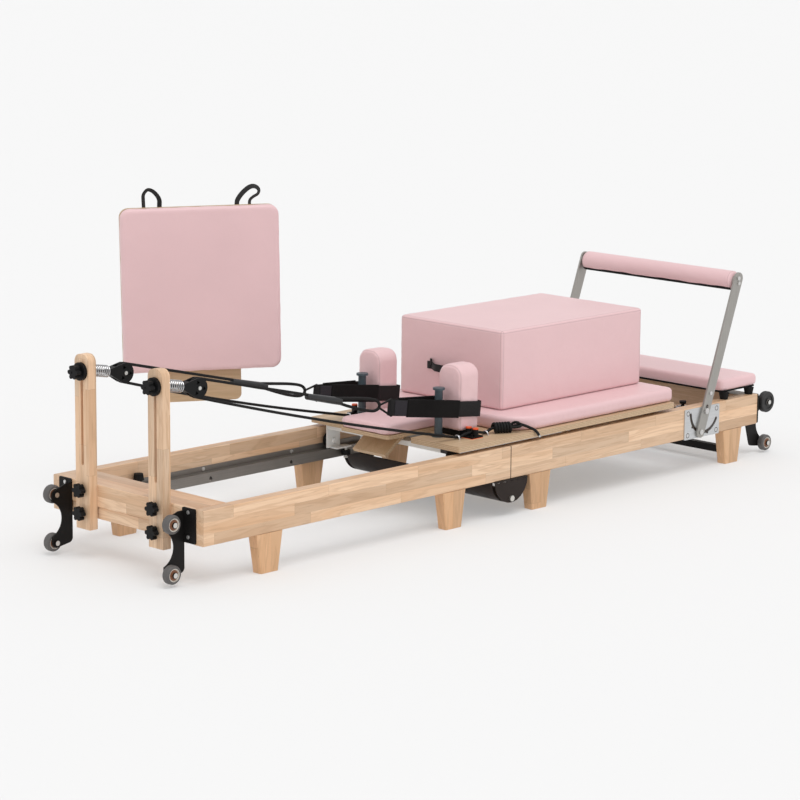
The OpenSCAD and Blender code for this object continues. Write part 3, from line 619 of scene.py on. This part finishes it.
# Stitched strap ends: a lighter violet-grey tone that is painted sheen on the doubled webbing.
stitched_sheen = webbing("stitched_webbing", (0.022, 0.019, 0.024), 0.0030)
cleat = Tree("cleat_plastic")
cx, cy, cz = cleat.split(cleat.coord)
outboard = cleat.math("GREATER_THAN", cleat.math("ABSOLUTE", cleat.math("SUBTRACT", cy, OY)), 0.2045)
lip = cleat.math("MAXIMUM", cleat.math("GREATER_THAN", cz, 0.2515), cleat.math("LESS_THAN", cz, 0.2274))
away = cleat.math("GREATER_THAN", cleat.math("ABSOLUTE", cleat.math("SUBTRACT", cx, OX + 1.075)), 0.03)
staple = cleat.math("MULTIPLY", away, outboard)
orange = cleat.mix(cleat.noise(cleat.coord, 90.0), (0.80, 0.10, 0.03), (0.9, 0.15, 0.05))
cleat_tone = cleat.mix(cleat.math("MULTIPLY", lip, outboard), (0.008, 0.008, 0.008), orange)
cleat_tone = cleat.mix(staple, cleat_tone, (0.72, 0.72, 0.74))
cleat.finish(cleat_tone, 0.36, cleat.bump(cleat.noise(cleat.coord, 900.0), 0.1, 0.0004), staple, **DULL)
cleat_mat = cleat.mat


def spots(t, colour, rough, places, radius, metal=0.9):
    """Adds round spots of another finish around given points, seen along Y."""
    here = t.vec("MULTIPLY", t.coord, (1.0, 0.0, 1.0))
    near = None
    for x, _, z in places:
        hit = t.math("LESS_THAN", t.vec("DISTANCE", here, (x, 0.0, z)), radius)
        near = hit if near is None else t.math("MAXIMUM", near, hit)
    paint(t, near, colour)
    for key, value in (("Metallic", metal), ("Roughness", rough)):
        socket = t.bsdf.inputs[key]
        old = socket.links[0].from_socket if socket.links else socket.default_value
        n = t.nt.nodes.new("ShaderNodeMix")
        t.set(n.inputs[0], near)
        t.set(n.inputs[2], old)
        t.set(n.inputs[3], value)
        t.nt.links.new(n.outputs[0], socket)


def paint(t, mask, colour):
    """Puts another colour over a material where the mask says so."""
    socket = t.bsdf.inputs["Base Color"]
    t.set(socket, t.mix(mask, socket.links[0].from_socket, colour))


def tree_of(material):
    """A builder for a material that was made before."""
    t = Tree.__new__(Tree)
    t.mat, t.nt = material, material.node_tree
    t.bsdf = t.nt.nodes["Principled BSDF"]
    t.coord = t.nt.nodes.new("ShaderNodeTexCoord").outputs["Object"]
    return t


COAT, BOLT_HEAD = (0.010, 0.009, 0.0085), (0.66, 0.65, 0.63)
head_axles = [P(*HEAD_WHEELS, z) for z in (164, 33)]
foot_axles = [P(*FOOT_WHEELS, z) for z in (160, 30)]
head_bracket_mat = speckled("head_bracket_coat", COAT, 0.42, 1400.0, 0.1, **DULL)
spots(tree_of(head_bracket_mat), BOLT_HEAD, 0.3, head_axles, 0.0068)
foot_bracket_mat = speckled("foot_bracket_coat", COAT, 0.42, 1400.0, 0.1, **DULL)
spots(tree_of(foot_bracket_mat), BOLT_HEAD, 0.3, foot_axles, 0.0068)
spots(tree_of(dark_plate), (0.66, 0.64, 0.60), 0.3, [P(SPLIT_X, 0, FOLD_Z)], 0.0085)
screw_places = [P(x, 0, z) for x in (1954, 2092) for z in (117, 184)]
spots(tree_of(zinc), (0.13, 0.12, 0.115), 0.5, screw_places, 0.0078)
block_mat = speckled("pulley_block_plastic", (0.008, 0.008, 0.0085), 0.42, 1100.0, 0.12, **DULL)
sheave_x = PULLEY_REACH * math.cos(PULLEY_DIP)
sheave_z = PULLEY_Z - PULLEY_REACH * math.sin(PULLEY_DIP)
spots(tree_of(block_mat), (0.6, 0.59, 0.57), 0.3, [P(sheave_x, 0, sheave_z)], 0.0052)


def shade_under_track(material):
    """Shadow in the channel between a rail and the lip of its track, and in the split."""
    t = tree_of(material)
    x, y, z = t.split(t.coord)
    within = t.math("LESS_THAN", t.math("ABSOLUTE", t.math("SUBTRACT", y, OY)), 0.2645)
    paint(t, t.math("MULTIPLY", within, t.math("LESS_THAN", z, 0.1335)), (0.03, 0.022, 0.018))
    split = t.math("LESS_THAN", t.math("ABSOLUTE", t.math("SUBTRACT", x, at_x(SPLIT_X))), 0.0017)
    paint(t, split, (0.10, 0.045, 0.02))


# Foot rails: painted shadow on their outer faces, below the pivot, behind the arc slots of the footbar
# plates.
slotted = wood("rubberwood_foot_rails", "X", 0.34, BLOCK, (0.1, ROW_START), LIGHT, DARK)
ft = tree_of(slotted)
fx, fy, fz = ft.split(ft.coord)
from_pivot = ft.vec("DISTANCE", ft.join(fx, 0.0, fz), (at_x(BAR_X), 0.0, BAR_Z / 1000))
# Painted shadow: a band around the slot radius is painted near-black where the slots show the rail.
slot_shadow = ft.math("LESS_THAN", ft.math("ABSOLUTE", ft.math("SUBTRACT", from_pivot, 0.066)), 0.0095)
outer_face = ft.math("GREATER_THAN", ft.math("ABSOLUTE", ft.math("SUBTRACT", fy, OY)), 0.2995)
low_part = ft.math("LESS_THAN", fz, BAR_Z / 1000)
paint(ft, ft.math("MULTIPLY", ft.math("MULTIPLY", slot_shadow, outer_face), low_part), (0.035, 0.02, 0.012))
for material in (rails, slotted):
    shade_under_track(material)
# Painted shade: the near side of the white underframe is painted near-black, where the gap under the deck
# lies in shadow.
under = tree_of(white_steel)
near_side_shade = under.math("LESS_THAN", under.math("SUBTRACT", under.split(under.coord)[1], OY), -0.212)
paint(under, near_side_shade, (0.012, 0.011, 0.011))

grey_tyre, brown_hub, pale = (0.105, 0.098, 0.095), (0.24, 0.105, 0.055), (0.72, 0.67, 0.60)
small_rings = ((0.0055, 0.0142, 0.0170), (pale, brown_hub, pale, grey_tyre))
large_rings = ((0.009, 0.016), ((0.3, 0.27, 0.24), (0.02, 0.02, 0.02), (0.022, 0.021, 0.021)))
wheel_looks = {
    "head_wheels_top": (head_axles[0], *small_rings), "head_wheels_low": (head_axles[1], *small_rings),
    "foot_wheels_low": (foot_axles[1], *small_rings), "foot_wheels_top": (foot_axles[0], *large_rings),
}
looks = {
    "head_rails": rails, "foot_rails": slotted, "head_end_rails": end_rails, "foot_end_rail": end_rails,
    "head_legs": legs, "foot_legs": legs, "posts": post_wood, "post_knobs": black_plastic,
    "head_brackets": head_bracket_mat, "foot_brackets": foot_bracket_mat, "head_hinge": dark_plate,
    "foot_hinge": dark_plate, "bumpers": rubber, "head_screws": bolt_steel, "foot_screws": bolt_steel,
    "head_tracks": track_steel, "foot_tracks": track_steel, "pulley_springs": spring_steel,
    "pulley_blocks": block_mat, "pulley_sheaves": black_plastic, "adjuster_near": black_plastic,
    "adjuster_far": black_plastic, "footbar_plates": zinc, "cross_bar": black_steel,
    "spring_bar": black_steel, "footbar_arms": arm_metal, "footbar_bolts": bolt_steel,
    "platform_base": rubber, "deck": birch, "underframe": white_steel, "strap_pegs": peg_plastic,
    "cleats": cleat_mat, "wheels_front": black_plastic, "wheels_rear": black_plastic,
    "guide_a": black_plastic, "guide_b": black_plastic, "guide_c": black_plastic,
    "guide_d": black_plastic, "headrest_board": birch, "headrest_prop": birch,
    "strap_rings": black_steel, "jump_board": board_ply,
}
for name, (centre, radii, colours) in wheel_looks.items():
    looks[name] = wheel(name + "_rubber", centre, radii, colours, 0.55)
for name, material in looks.items():
    nodes[name].data.materials.clear()
    nodes[name].data.materials.append(material)


# ---------------------------------------------------------------- ropes

ROPE = 0.004


def both():
    return ((-1, "near"), (1, "far"))


# Spare rope: two strands in the core, a bight at the foot end, turns around them, and the tail.
hank_at, hank_turn = P(1156.5, -230, 242.3), math.radians(-28)
h_dir = Vector((math.cos(hank_turn), math.sin(hank_turn), 0))
h_side = Vector((-h_dir.y, h_dir.x, 0))


def on_hank(x, s, z):
    return hank_at + h_dir * x + h_side * s + Vector((0, 0, z))


turns, core = 6, 0.0041
per_turn, wound, turn_r = 14, 0.0515, 0.0121
first = [(-0.001, 0, -0.001), (0.006, -0.002, 0)] + [(x, -core, 0) for x in (0.014, 0.034, 0.052)]
bight = [(0.064, -core - 0.002, 0), (0.076, -0.008, 0.001), (0.085, -0.002, 0.002)]
bight += [(0.085, 0.006, 0.002), (0.076, 0.0105, 0.001), (0.064, core + 0.002, 0)]
second = [(x, core, 0) for x in (0.052, 0.034, 0.018)] + [(0.008, core + 0.002, 0)]
hank_path = [on_hank(*q) for q in first + bight + second]
for i in range(turns * per_turn + 1):
    a = 2 * math.pi * i / per_turn
    along = 0.004 + wound * i / (turns * per_turn)
    hank_path.append(on_hank(along, turn_r * math.cos(a), turn_r * math.sin(a)))
hank_line = resample(hank_path, 0.0022)
hank = add("spare_rope_hank", tube("spare_rope_hank", hank_line, ROPE, 12, 0.00022), rope_mat)
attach(hank, "carriage")
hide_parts("rope_hank")
tail_pts = [on_hank(0.0575, turn_r, 0.0), on_hank(0.066, 0.0085, 0.0095), on_hank(0.075, 0.001, 0.0118)]
tail_pts += [P(1234, -268, 248), P(1245, -278, 243), P(1253, -287, 238), P(1259, -294, 234)]
tail_pts += [P(1264, -300, 229), P(1268, -304, 222), P(1271, -305, 217), P(1275, -305, 212)]
tail_line = resample(tail_pts, 0.0022)
tail = add("spare_rope_tail", tube("spare_rope_tail", tail_line, ROPE, 12, 0.00022), rope_mat)
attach(tail, "carriage")
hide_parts("rope_tail")
tip = add("spare_rope_tip", tube("spare_rope_tip", tail_line[-4:], ROPE * 1.06, 16), bolt_steel)
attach(tip, "carriage")

# The two taut ropes, each in an upper run, a turn round the sheave and a lower run.
sheave_r, fall = 0.0244, 0.24


def on_run(x, s, dy, dz):
    """A point beside the upper run of a rope, near the carriage."""
    return P(x, s * ROPE_Y + dy, 344 + (780 - x) * fall + dz)


for s, word in both():
    sheave = P(sheave_x, s * 146, sheave_z)
    around = [math.radians(a) for a in range(13, -168, -9)]
    wrap = [sheave + sheave_r * Vector((math.sin(a), 0, math.cos(a))) for a in around]
    start = on_run(600, s, 0, 2)
    upper = [start + (wrap[0] - start) * t for t in np.linspace(0, 1, 12, endpoint=False)]
    line = resample(upper + wrap[:10], 0.0035)
    run = add(f"rope_upper_{word}", tube(f"rope_upper_{word}", line, ROPE, 12, 0.00022), rope_mat)
    on_run(200, s, 0, 0)
    on_run(784, s, 0, 0)
    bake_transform(run)
    end = P(1026, s * 216, 232)
    span = end - wrap[-1]
    sag = [wrap[-1] + span * t - Vector((0, 0, 0.04 * t * (1 - t))) for t in np.linspace(0, 1, 14)]
    ends = [P(1052, s * 222, 238), P(1075, s * 227.7, 241), P(1104, s * 228, 237)]
    ends += [P(1130, s * 228, 232), P(1144, s * 228, 237), P(1156, s * 229, 241)]
    line = resample(wrap[9:-1] + sag + ends, 0.0035)
    run = add(f"rope_lower_{word}", tube(f"rope_lower_{word}", line, ROPE, 12, 0.00022), rope_mat)
    if s < 0:
        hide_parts("ropes")
    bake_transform(run)
    # Eye of the rope around the wire triangle, with a shrink sleeve over its doubled end.
    lower = ((520, 1, -6), (580, 1, -7), (625, 1, -8), (670, 2, -13), (720, 2, -17), (760, 2, -16))
    bend = ((778, 1, -9), (RING_X, 0, 1), (778, -1, 11))
    upper = ((760, -2, 16), (720, -2, 15), (670, -2, 10), (625, -1, 5), (600, 0, 2))
    line = resample([on_run(x, s, dy, dz) for x, dy, dz in lower + bend + upper], 0.003)
    loop = add(f"rope_eye_{word}", tube(f"rope_eye_{word}", line, 0.0043, 12, 0.00022), rope_mat)
    on_run(200, s, 0, 0)
    on_run(784, s, 0, 0)
    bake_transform(loop)
    line = resample([on_run(x, s, 1, -2.5) for x in (508, 550, 595, 634)], 0.003)
    shape = tube(f"rope_sleeve_{word}", line, lambda run: 0.0086 + 0.0016 * min(1, run / 0.1), 20)
    sleeve = add(f"rope_sleeve_{word}", shape, sleeve_mat)
    on_run(200, s, 0, 0)
    on_run(784, s, 0, 0)
    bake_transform(sleeve)


# ---------------------------------------------------------------- springs

# Each coil stretches between the carriage and its ring on the spring bar.
coils, steps, coil_r, coil_len = 70, 12, 0.0095, 0.47
for i, y in enumerate((-208, -104, 0, 104, 208)):
    line = [P(1494, y, SPRING_Z), P(1504, y, SPRING_Z)]
    for k in range(coils * steps + 1):
        a = 2 * math.pi * k / steps
        wire = Vector((coil_len * k / (coils * steps), coil_r * math.cos(a), coil_r * math.sin(a)))
        line.append(P(1512, y, SPRING_Z) + wire)
    line += [P(x, y, SPRING_Z) for x in (1992, 2012, 2026)]
    coil = add(f"spring_{i}", tube(f"spring_{i}", line, 0.0014, 6), spring_steel)
    if i == 0:
        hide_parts("springs")
    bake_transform(coil)
    angles = np.linspace(0, 2 * math.pi, 32, endpoint=False)
    middle = P(SPRING_BAR_X, y, SPRING_Z)
    ring = [middle + 0.019 * Vector((math.cos(a), math.sin(a), 0)) for a in angles]
    shape = tube(f"spring_eye_{i}", ring, 0.0026, 8, closed=True)
    eye = add(f"spring_eye_{i}", shape, spring_steel)
    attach(eye, "head_frame")


# ---------------------------------------------------------------- cushions


def crown(obj, centre, half, axis, height, margin, seed, crease=0.0006, sign=1):
    """Raises a face towards its middle and creases it near its edges. Lengths in metres."""
    co, no = coords(obj), normals(obj)
    others = [i for i in range(3) if i != axis]
    d = np.minimum(*[half[i] - np.abs(co[:, i] - centre[i]) for i in others])
    face = smoothstep((sign * no[:, axis] - 0.5) / 0.4)
    co[:, axis] += sign * height * face * smoothstep(d / margin)
    ripple = hash_noise(co, 38.0, seed) * 0.6 + hash_noise(co, 95.0, seed + 3) * 0.4
    near_edge = np.exp(-np.maximum(d, 0) / 0.035)
    co += no * (crease * ripple * (0.35 + near_edge))[:, None]
    put(obj, co)


def cushion(
    name, outline, z0, z1, body, node, bevel, voxel, margin, seed, height=0.0012, material=None
):
    """A cushion over an outline: rounded edges and a top raised by `height` within `margin`."""
    obj = add(name, prism(name, outline, z0, z1, P), material or pink)
    soften(obj, bevel, voxel)
    co = coords(obj)
    centre = (co.min(0) + co.max(0)) / 2
    half = (co.max(0) - co.min(0)) / 2
    crown(obj, centre, half, 2, height, margin, seed)
    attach(obj, body)
    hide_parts(node)


voxel = 0.0045
notch, pad_side, pad_end = 112, 281.6, 1917.6
pad_half = [(1113, 0)] + outline_arc(1133, 78, 20, 180, 90, 6) + [(1184, 98), (1193, 104), (1196, 116)]
pad_half += outline_arc(1196 + notch, pad_side - notch, notch, 180, 90, 14)
pad_half += outline_arc(pad_end - 28, pad_side - 28, 28, 90, 0, 8)
pad_outline = [(x, -y) for x, y in reversed(pad_half[1:])] + pad_half[1:]
cushion("carriage_pad_cover", pad_outline, 226.4, 267.2, "carriage", "carriage_pad", 0.011, voxel, 0.09, 1)
platform = round_rect(2137.4, -286.6, 2317.6, 286.6, 18)
cushion("platform_pad_cover", platform, 226.4, 261, "platform", "platform_pad", 0.010, 0.004, 0.03, 2)
headrest = round_rect(869, -97, 1107, 97, 22)
cushion("headrest_cover", headrest, 238.6, 267.5, "headrest", "headrest_pad", 0.010, 0.004, 0.05, 3, 0.002)
box = round_rect(1258.6, -170.4, 1885.4, 236.4, 9, 5)
cushion("box_cover", box, 269, 499.6, "sitting_box", "box", 0.007, voxel, 0.1, 4, material=pink_box)

for s, word in both():
    arch = outline_arc(10, 394, 34, 0, 90, 12) + outline_arc(-10, 394, 34, 90, 180, 12)
    arch += outline_arc(-34, 252, 10, 180, 270, 6) + outline_arc(34, 252, 10, 270, 360, 6)
    name = f"shoulder_rest_{word}"
    shape = prism(name, arch, -38.5, 38.5, lambda y, z, x, s=s: P(REST_X + x, s * REST_Y + y, z))
    obj = add(name, shape, pink_rest)
    soften(obj, 0.013, 0.003, 4)
    low, high = P(1051.5, s * REST_Y - 44, 242), P(1128.5, s * REST_Y + 44, 428)
    centre, half = (low + high) / 2, (high - low) / 2
    crown(obj, centre, half, 0, 0.0022, 0.03, 5 + s, 0.0008, 1)
    crown(obj, centre, half, 0, 0.0022, 0.03, 8 + s, 0.0, -1)
    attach(obj, "carriage")
    if s < 0:
        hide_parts("shoulder_rests")

turn, tip = math.radians(-34.7), math.radians(-1.1)
j_dir = Vector((math.cos(tip) * math.cos(turn), math.cos(tip) * math.sin(turn), -math.sin(tip)))
j_up = Vector((math.sin(tip) * math.cos(turn), math.sin(tip) * math.sin(turn), math.cos(tip)))
j_out = Vector((-math.sin(turn), math.cos(turn), 0))
j_at = P(644, 425, 616)


def on_board(x, z, d):
    return j_at + (j_dir * x + j_up * z + j_out * d) / 1000


board_face = round_rect(-226, -234.5, 226, 234.5, 28)
board = add("jump_board_cover", prism("jump_board_cover", board_face, 1.5, 33.7, on_board), pink)
soften(board, 0.009, 0.0045)
co, no = coords(board), normals(board)
lx, lz = (co - np.array(j_at)) @ np.array(j_dir), (co - np.array(j_at)) @ np.array(j_up)
d = np.minimum(0.226 - np.abs(lx), 0.2345 - np.abs(lz))
front = smoothstep((-(no @ np.array(j_out)) - 0.5) / 0.4)
co -= np.array(j_out) * (0.0012 * front * smoothstep(d / 0.09))[:, None]
co += no * (0.0006 * hash_noise(co, 40.0, 9) * (0.35 + np.exp(-np.maximum(d, 0) / 0.035)))[:, None]
put(board, co)
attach(board, "jump_board")
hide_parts("jump_pad")

# Padded bar: a sleeve with slight waves and a wavy closure tape along its underside.
lean = math.radians(20)
bar_centre = P(BAR_X + BAR_ARM * math.sin(lean), 0, BAR_Z + BAR_ARM * math.cos(lean))
sections = []
for y in np.linspace(-0.2955, 0.2955, 150):
    edge = 0.2955 - abs(y)
    r = 0.0293 * math.sqrt(1 - max(0.0, 1 - edge / 0.006) ** 2)
    r = max(r, 0.019)
    ring = []
    for k in range(56):
        a = 2 * math.pi * k / 56
        wave = 0.00022 * math.sin(y * 74 + 1.3 * math.sin(2 * a)) * math.sin(3 * a + y * 9)
        fold = -0.0009 * math.exp(-((math.degrees(a) - 262) / 4.0) ** 2)
        reach = r + wave + fold
        ring.append(bar_centre + Vector((reach * math.cos(a), y, reach * math.sin(a))))
    sections.append(ring)
bar = add("footbar_sleeve", grid_mesh("footbar_sleeve", sections), pink_bar)
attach(bar, "footbar")
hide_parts("footbar_pad")
strip = []
profile = ((0, 0.0287), (0, 0.0298), (0.2, 0.0301), (0.4, 0.0302))
profile += ((0.6, 0.0302), (0.8, 0.0301), (1, 0.0298), (1, 0.0287))
for y in np.linspace(-0.292, 0.292, 160):
    edge = 221 + 2.4 * math.sin(y * 31) + 1.6 * math.sin(y * 83 + 1)
    ring = []
    for part, r in profile:
        a = math.radians(edge + part * (262 - edge))
        ring.append(bar_centre + Vector((r * math.cos(a), y, r * math.sin(a))))
    strip.append(ring)
closure = add("footbar_closure", grid_mesh("footbar_closure", strip), velcro)
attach(closure, "footbar")


# ---------------------------------------------------------------- webbing


def turns_back(a, b, c):
    return (b[0] - a[0]) * (c[1] - a[1]) <= (b[1] - a[1]) * (c[0] - a[0])


def hull(points):
    pts = sorted(set((round(x, 4), round(y, 4)) for x, y in points))

    def chain(ordered):
        out = []
        for p in ordered:
            while len(out) > 1 and turns_back(out[-2], out[-1], p):
                out.pop()
            out.append(p)
        return out[:-1]

    return chain(pts) + chain(pts[::-1])


def even_loop(points, step):
    p = np.array(points + [points[0]], float)
    run = np.concatenate([[0], np.cumsum(np.linalg.norm(np.diff(p, axis=0), axis=1))])
    n = int(run[-1] / step)
    at = np.linspace(0, run[-1], n, endpoint=False)
    return np.stack([np.interp(at, run, p[:, k]) for k in range(2)], 1)


def band(name, line, width, thickness, place, closed, material, lean=0.0):
    """Tape with rounded selvedges along a line in a plane, leaning out of square to it by `lean`."""
    line = np.array(line, float)
    if closed:
        tangent = np.roll(line, -1, 0) - np.roll(line, 1, 0)
    else:
        tangent = np.gradient(line, axis=0)
    tangent /= np.linalg.norm(tangent, axis=1)[:, None]
    out = np.stack([tangent[:, 1], -tangent[:, 0]], 1)
    h, t = width / 2, thickness / 2
    section = [(-h, -t * 0.5), (-h + 1, -t)] + [(v, -t) for v in np.linspace(-h + 3, h - 3, 9)]
    section += [(h - 1, -t), (h, -t * 0.5)]
    section += [(-a, -b) for a, b in section]
    c, d = math.cos(lean), math.sin(lean)
    turned = [(a * c - b * d, b * c + a * d) for a, b in section]
    rings = []
    for p, n in zip(line, out):
        rings.append([place(p[0] + n[0] * b, p[1] + n[1] * b, a) for a, b in turned])
    mesh = grid_mesh(name, rings, closed_u=closed, caps=not closed)
    return add(name, mesh, material)


slope = math.radians(6.5)


def strap_place(s):
    def place(x, y, z):
        c, d = math.cos(slope), math.sin(slope)
        return P(830 + x * c + z * d, s * (REST_Y + y), 333 - x * d + z * c)

    return place


def circles(grow):
    pts = outline_arc(0, -12, 6 + grow, 0, 360, 33)
    for x in (217, 301.5):
        r = 4 if x < 300 else 10
        for y in (-46 + r, 46 - r):
            pts += outline_arc(x + 4 - r, y, r + grow, 0, 360, 33)
    return hull(pts)


def run_of_strap(face, x, gap):
    """Distance across the strap loop of its outer or inner run, with a gap outwards."""
    return -6 + 0.24 * x + gap if face > 0 else -18 - 0.129 * x - gap


for s, word in both():
    place = strap_place(s)
    outer = even_loop(circles(2.9), 4.0)
    loop = band(f"strap_{word}", outer, 44, 2.0, place, True, tape)
    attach(loop, "carriage")
    if s < 0:
        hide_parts("straps")
    for face, side_word in ((-1, "in"), (1, "out")):
        sleeve_line = [(x, run_of_strap(face, x, 2.9)) for x in np.linspace(44, 212, 40)]
        lining = band(f"strap_pad_{word}_{side_word}", sleeve_line, 50, 6.0, place, False, lining_mat)
        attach(lining, "carriage")
        patch = [(x, run_of_strap(face, x, 4.6)) for x in np.linspace(3, 42, 12)]
        doubled = band(f"strap_end_{word}_{side_word}", patch, 42, 1.6, place, False, stitched_sheen)
        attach(doubled, "carriage")

handle = webbing("handle_webbing", (0.015, 0.014, 0.014), 0.0026)
for x, sgn, word in ((1258, -1, "head"), (1886, 1, "foot")):
    def handle_place(y, d, z, x=x, sgn=sgn):
        return P(x + sgn * d, HANDLE_Y + y, HANDLE_Z + z)

    half = ((18, 26), (34, 24.5), (46, 19), (60, 9), (70, 2.5), (78, 1.0), (87, 1.0))
    line = [(-a, b, 0) for a, b in half[::-1]] + [(0, 26.3, 0)] + [(a, b, 0) for a, b in half]
    line = resample(line, 2.5)[:, :2]
    tape_obj = band(f"box_handle_{word}", line, 22, 1.8, handle_place, False, handle)
    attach(tape_obj, "sitting_box")
    if sgn < 0:
        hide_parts("box_handles")
    if sgn < 0:
        def flap_place(y, d, z, x=x):
            return P(x - d, HANDLE_Y - 6 - y, HANDLE_Z + 11 + z)

        flap_line = [(-82, 3.2), (-78, 6.5), (-70, 8.0)]
        flap = band("box_handle_flap", flap_line, 20, 1.6, flap_place, False, handle)
        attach(flap, "sitting_box")
    for y, letter in ((-79, "a"), (79, "b")):
        ends = [(y - 9, 2.4), (y, 2.5), (y + 9, 2.4)]
        patch = band(f"box_handle_patch_{word}_{letter}", ends, 22, 1.2, handle_place, False, handle)
        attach(patch, "sitting_box")

upright = ((-22, -40), (-22, 0), (-22.5, 18), (-22, 32), (-16, 42), (-8, 47), (4, 43), (16, 31))
upright += ((23, 17), (23, 0), (22, -40))
drooping = ((-18, -40), (-18, 0), (-13, 15), (1, 32), (18, 45), (31, 48), (42, 43), (46, 34))
drooping += ((42, 25), (30, 18), (20, 9), (18, -6), (18, -40))
for i, (x0, shape, tilt) in enumerate(((-131, upright, 36), (131, drooping, -34))):
    def loop_place(a, b, d, x0=x0):
        return on_board(x0 + a, 235.5 + b, 58 + d)

    line = resample([(a, b, 0) for a, b in shape], 2.0)[:, :2]
    loop = band(f"jump_loop_{i}", line, 19, 1.5, loop_place, False, handle, math.radians(tilt))
    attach(loop, "jump_board")
    if i == 0:
        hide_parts("jump_loops")


# ---------------------------------------------------------------- light and floor

floor_mesh = bpy.data.meshes.new("floor")
corners = [(x, y, -0.0005) for x, y in ((-90, -90), (90, -90), (90, 90), (-90, 90))]
floor_mesh.from_pydata(corners, [], [(0, 1, 2, 3)])
floor_tree = Tree("floor")
floor_tree.finish((0.92, 0.92, 0.92), 0.9)
clear = floor_tree.node("ShaderNodeBsdfTransparent")
blend = floor_tree.node("ShaderNodeMixShader", {0: 0.35})
floor_tree.nt.links.new(floor_tree.bsdf.outputs[0], blend.inputs[1])
floor_tree.nt.links.new(clear.outputs[0], blend.inputs[2])
floor_tree.nt.links.new(blend.outputs[0], floor_tree.nt.nodes["Material Output"].inputs[0])
floor = add("floor", floor_mesh, floor_tree.mat, False)

world = bpy.data.worlds.new("studio")
bpy.context.scene.world = world
world.use_nodes = True
world.node_tree.nodes["Background"].inputs[0].default_value = (1, 1, 1, 1)
world.node_tree.nodes["Background"].inputs[1].default_value = 0.80


def sun(name, direction, strength, angle):
    light = bpy.data.lights.new(name, "SUN")
    light.energy, light.angle = strength, math.radians(angle)
    obj = bpy.data.objects.new(name, light)
    bpy.context.scene.collection.objects.link(obj)
    obj.rotation_mode = "QUATERNION"
    obj.rotation_quaternion = Vector(direction).to_track_quat("-Z", "Y")


sun("key", (0.10, 0.36, -0.93), 1.05, 40)
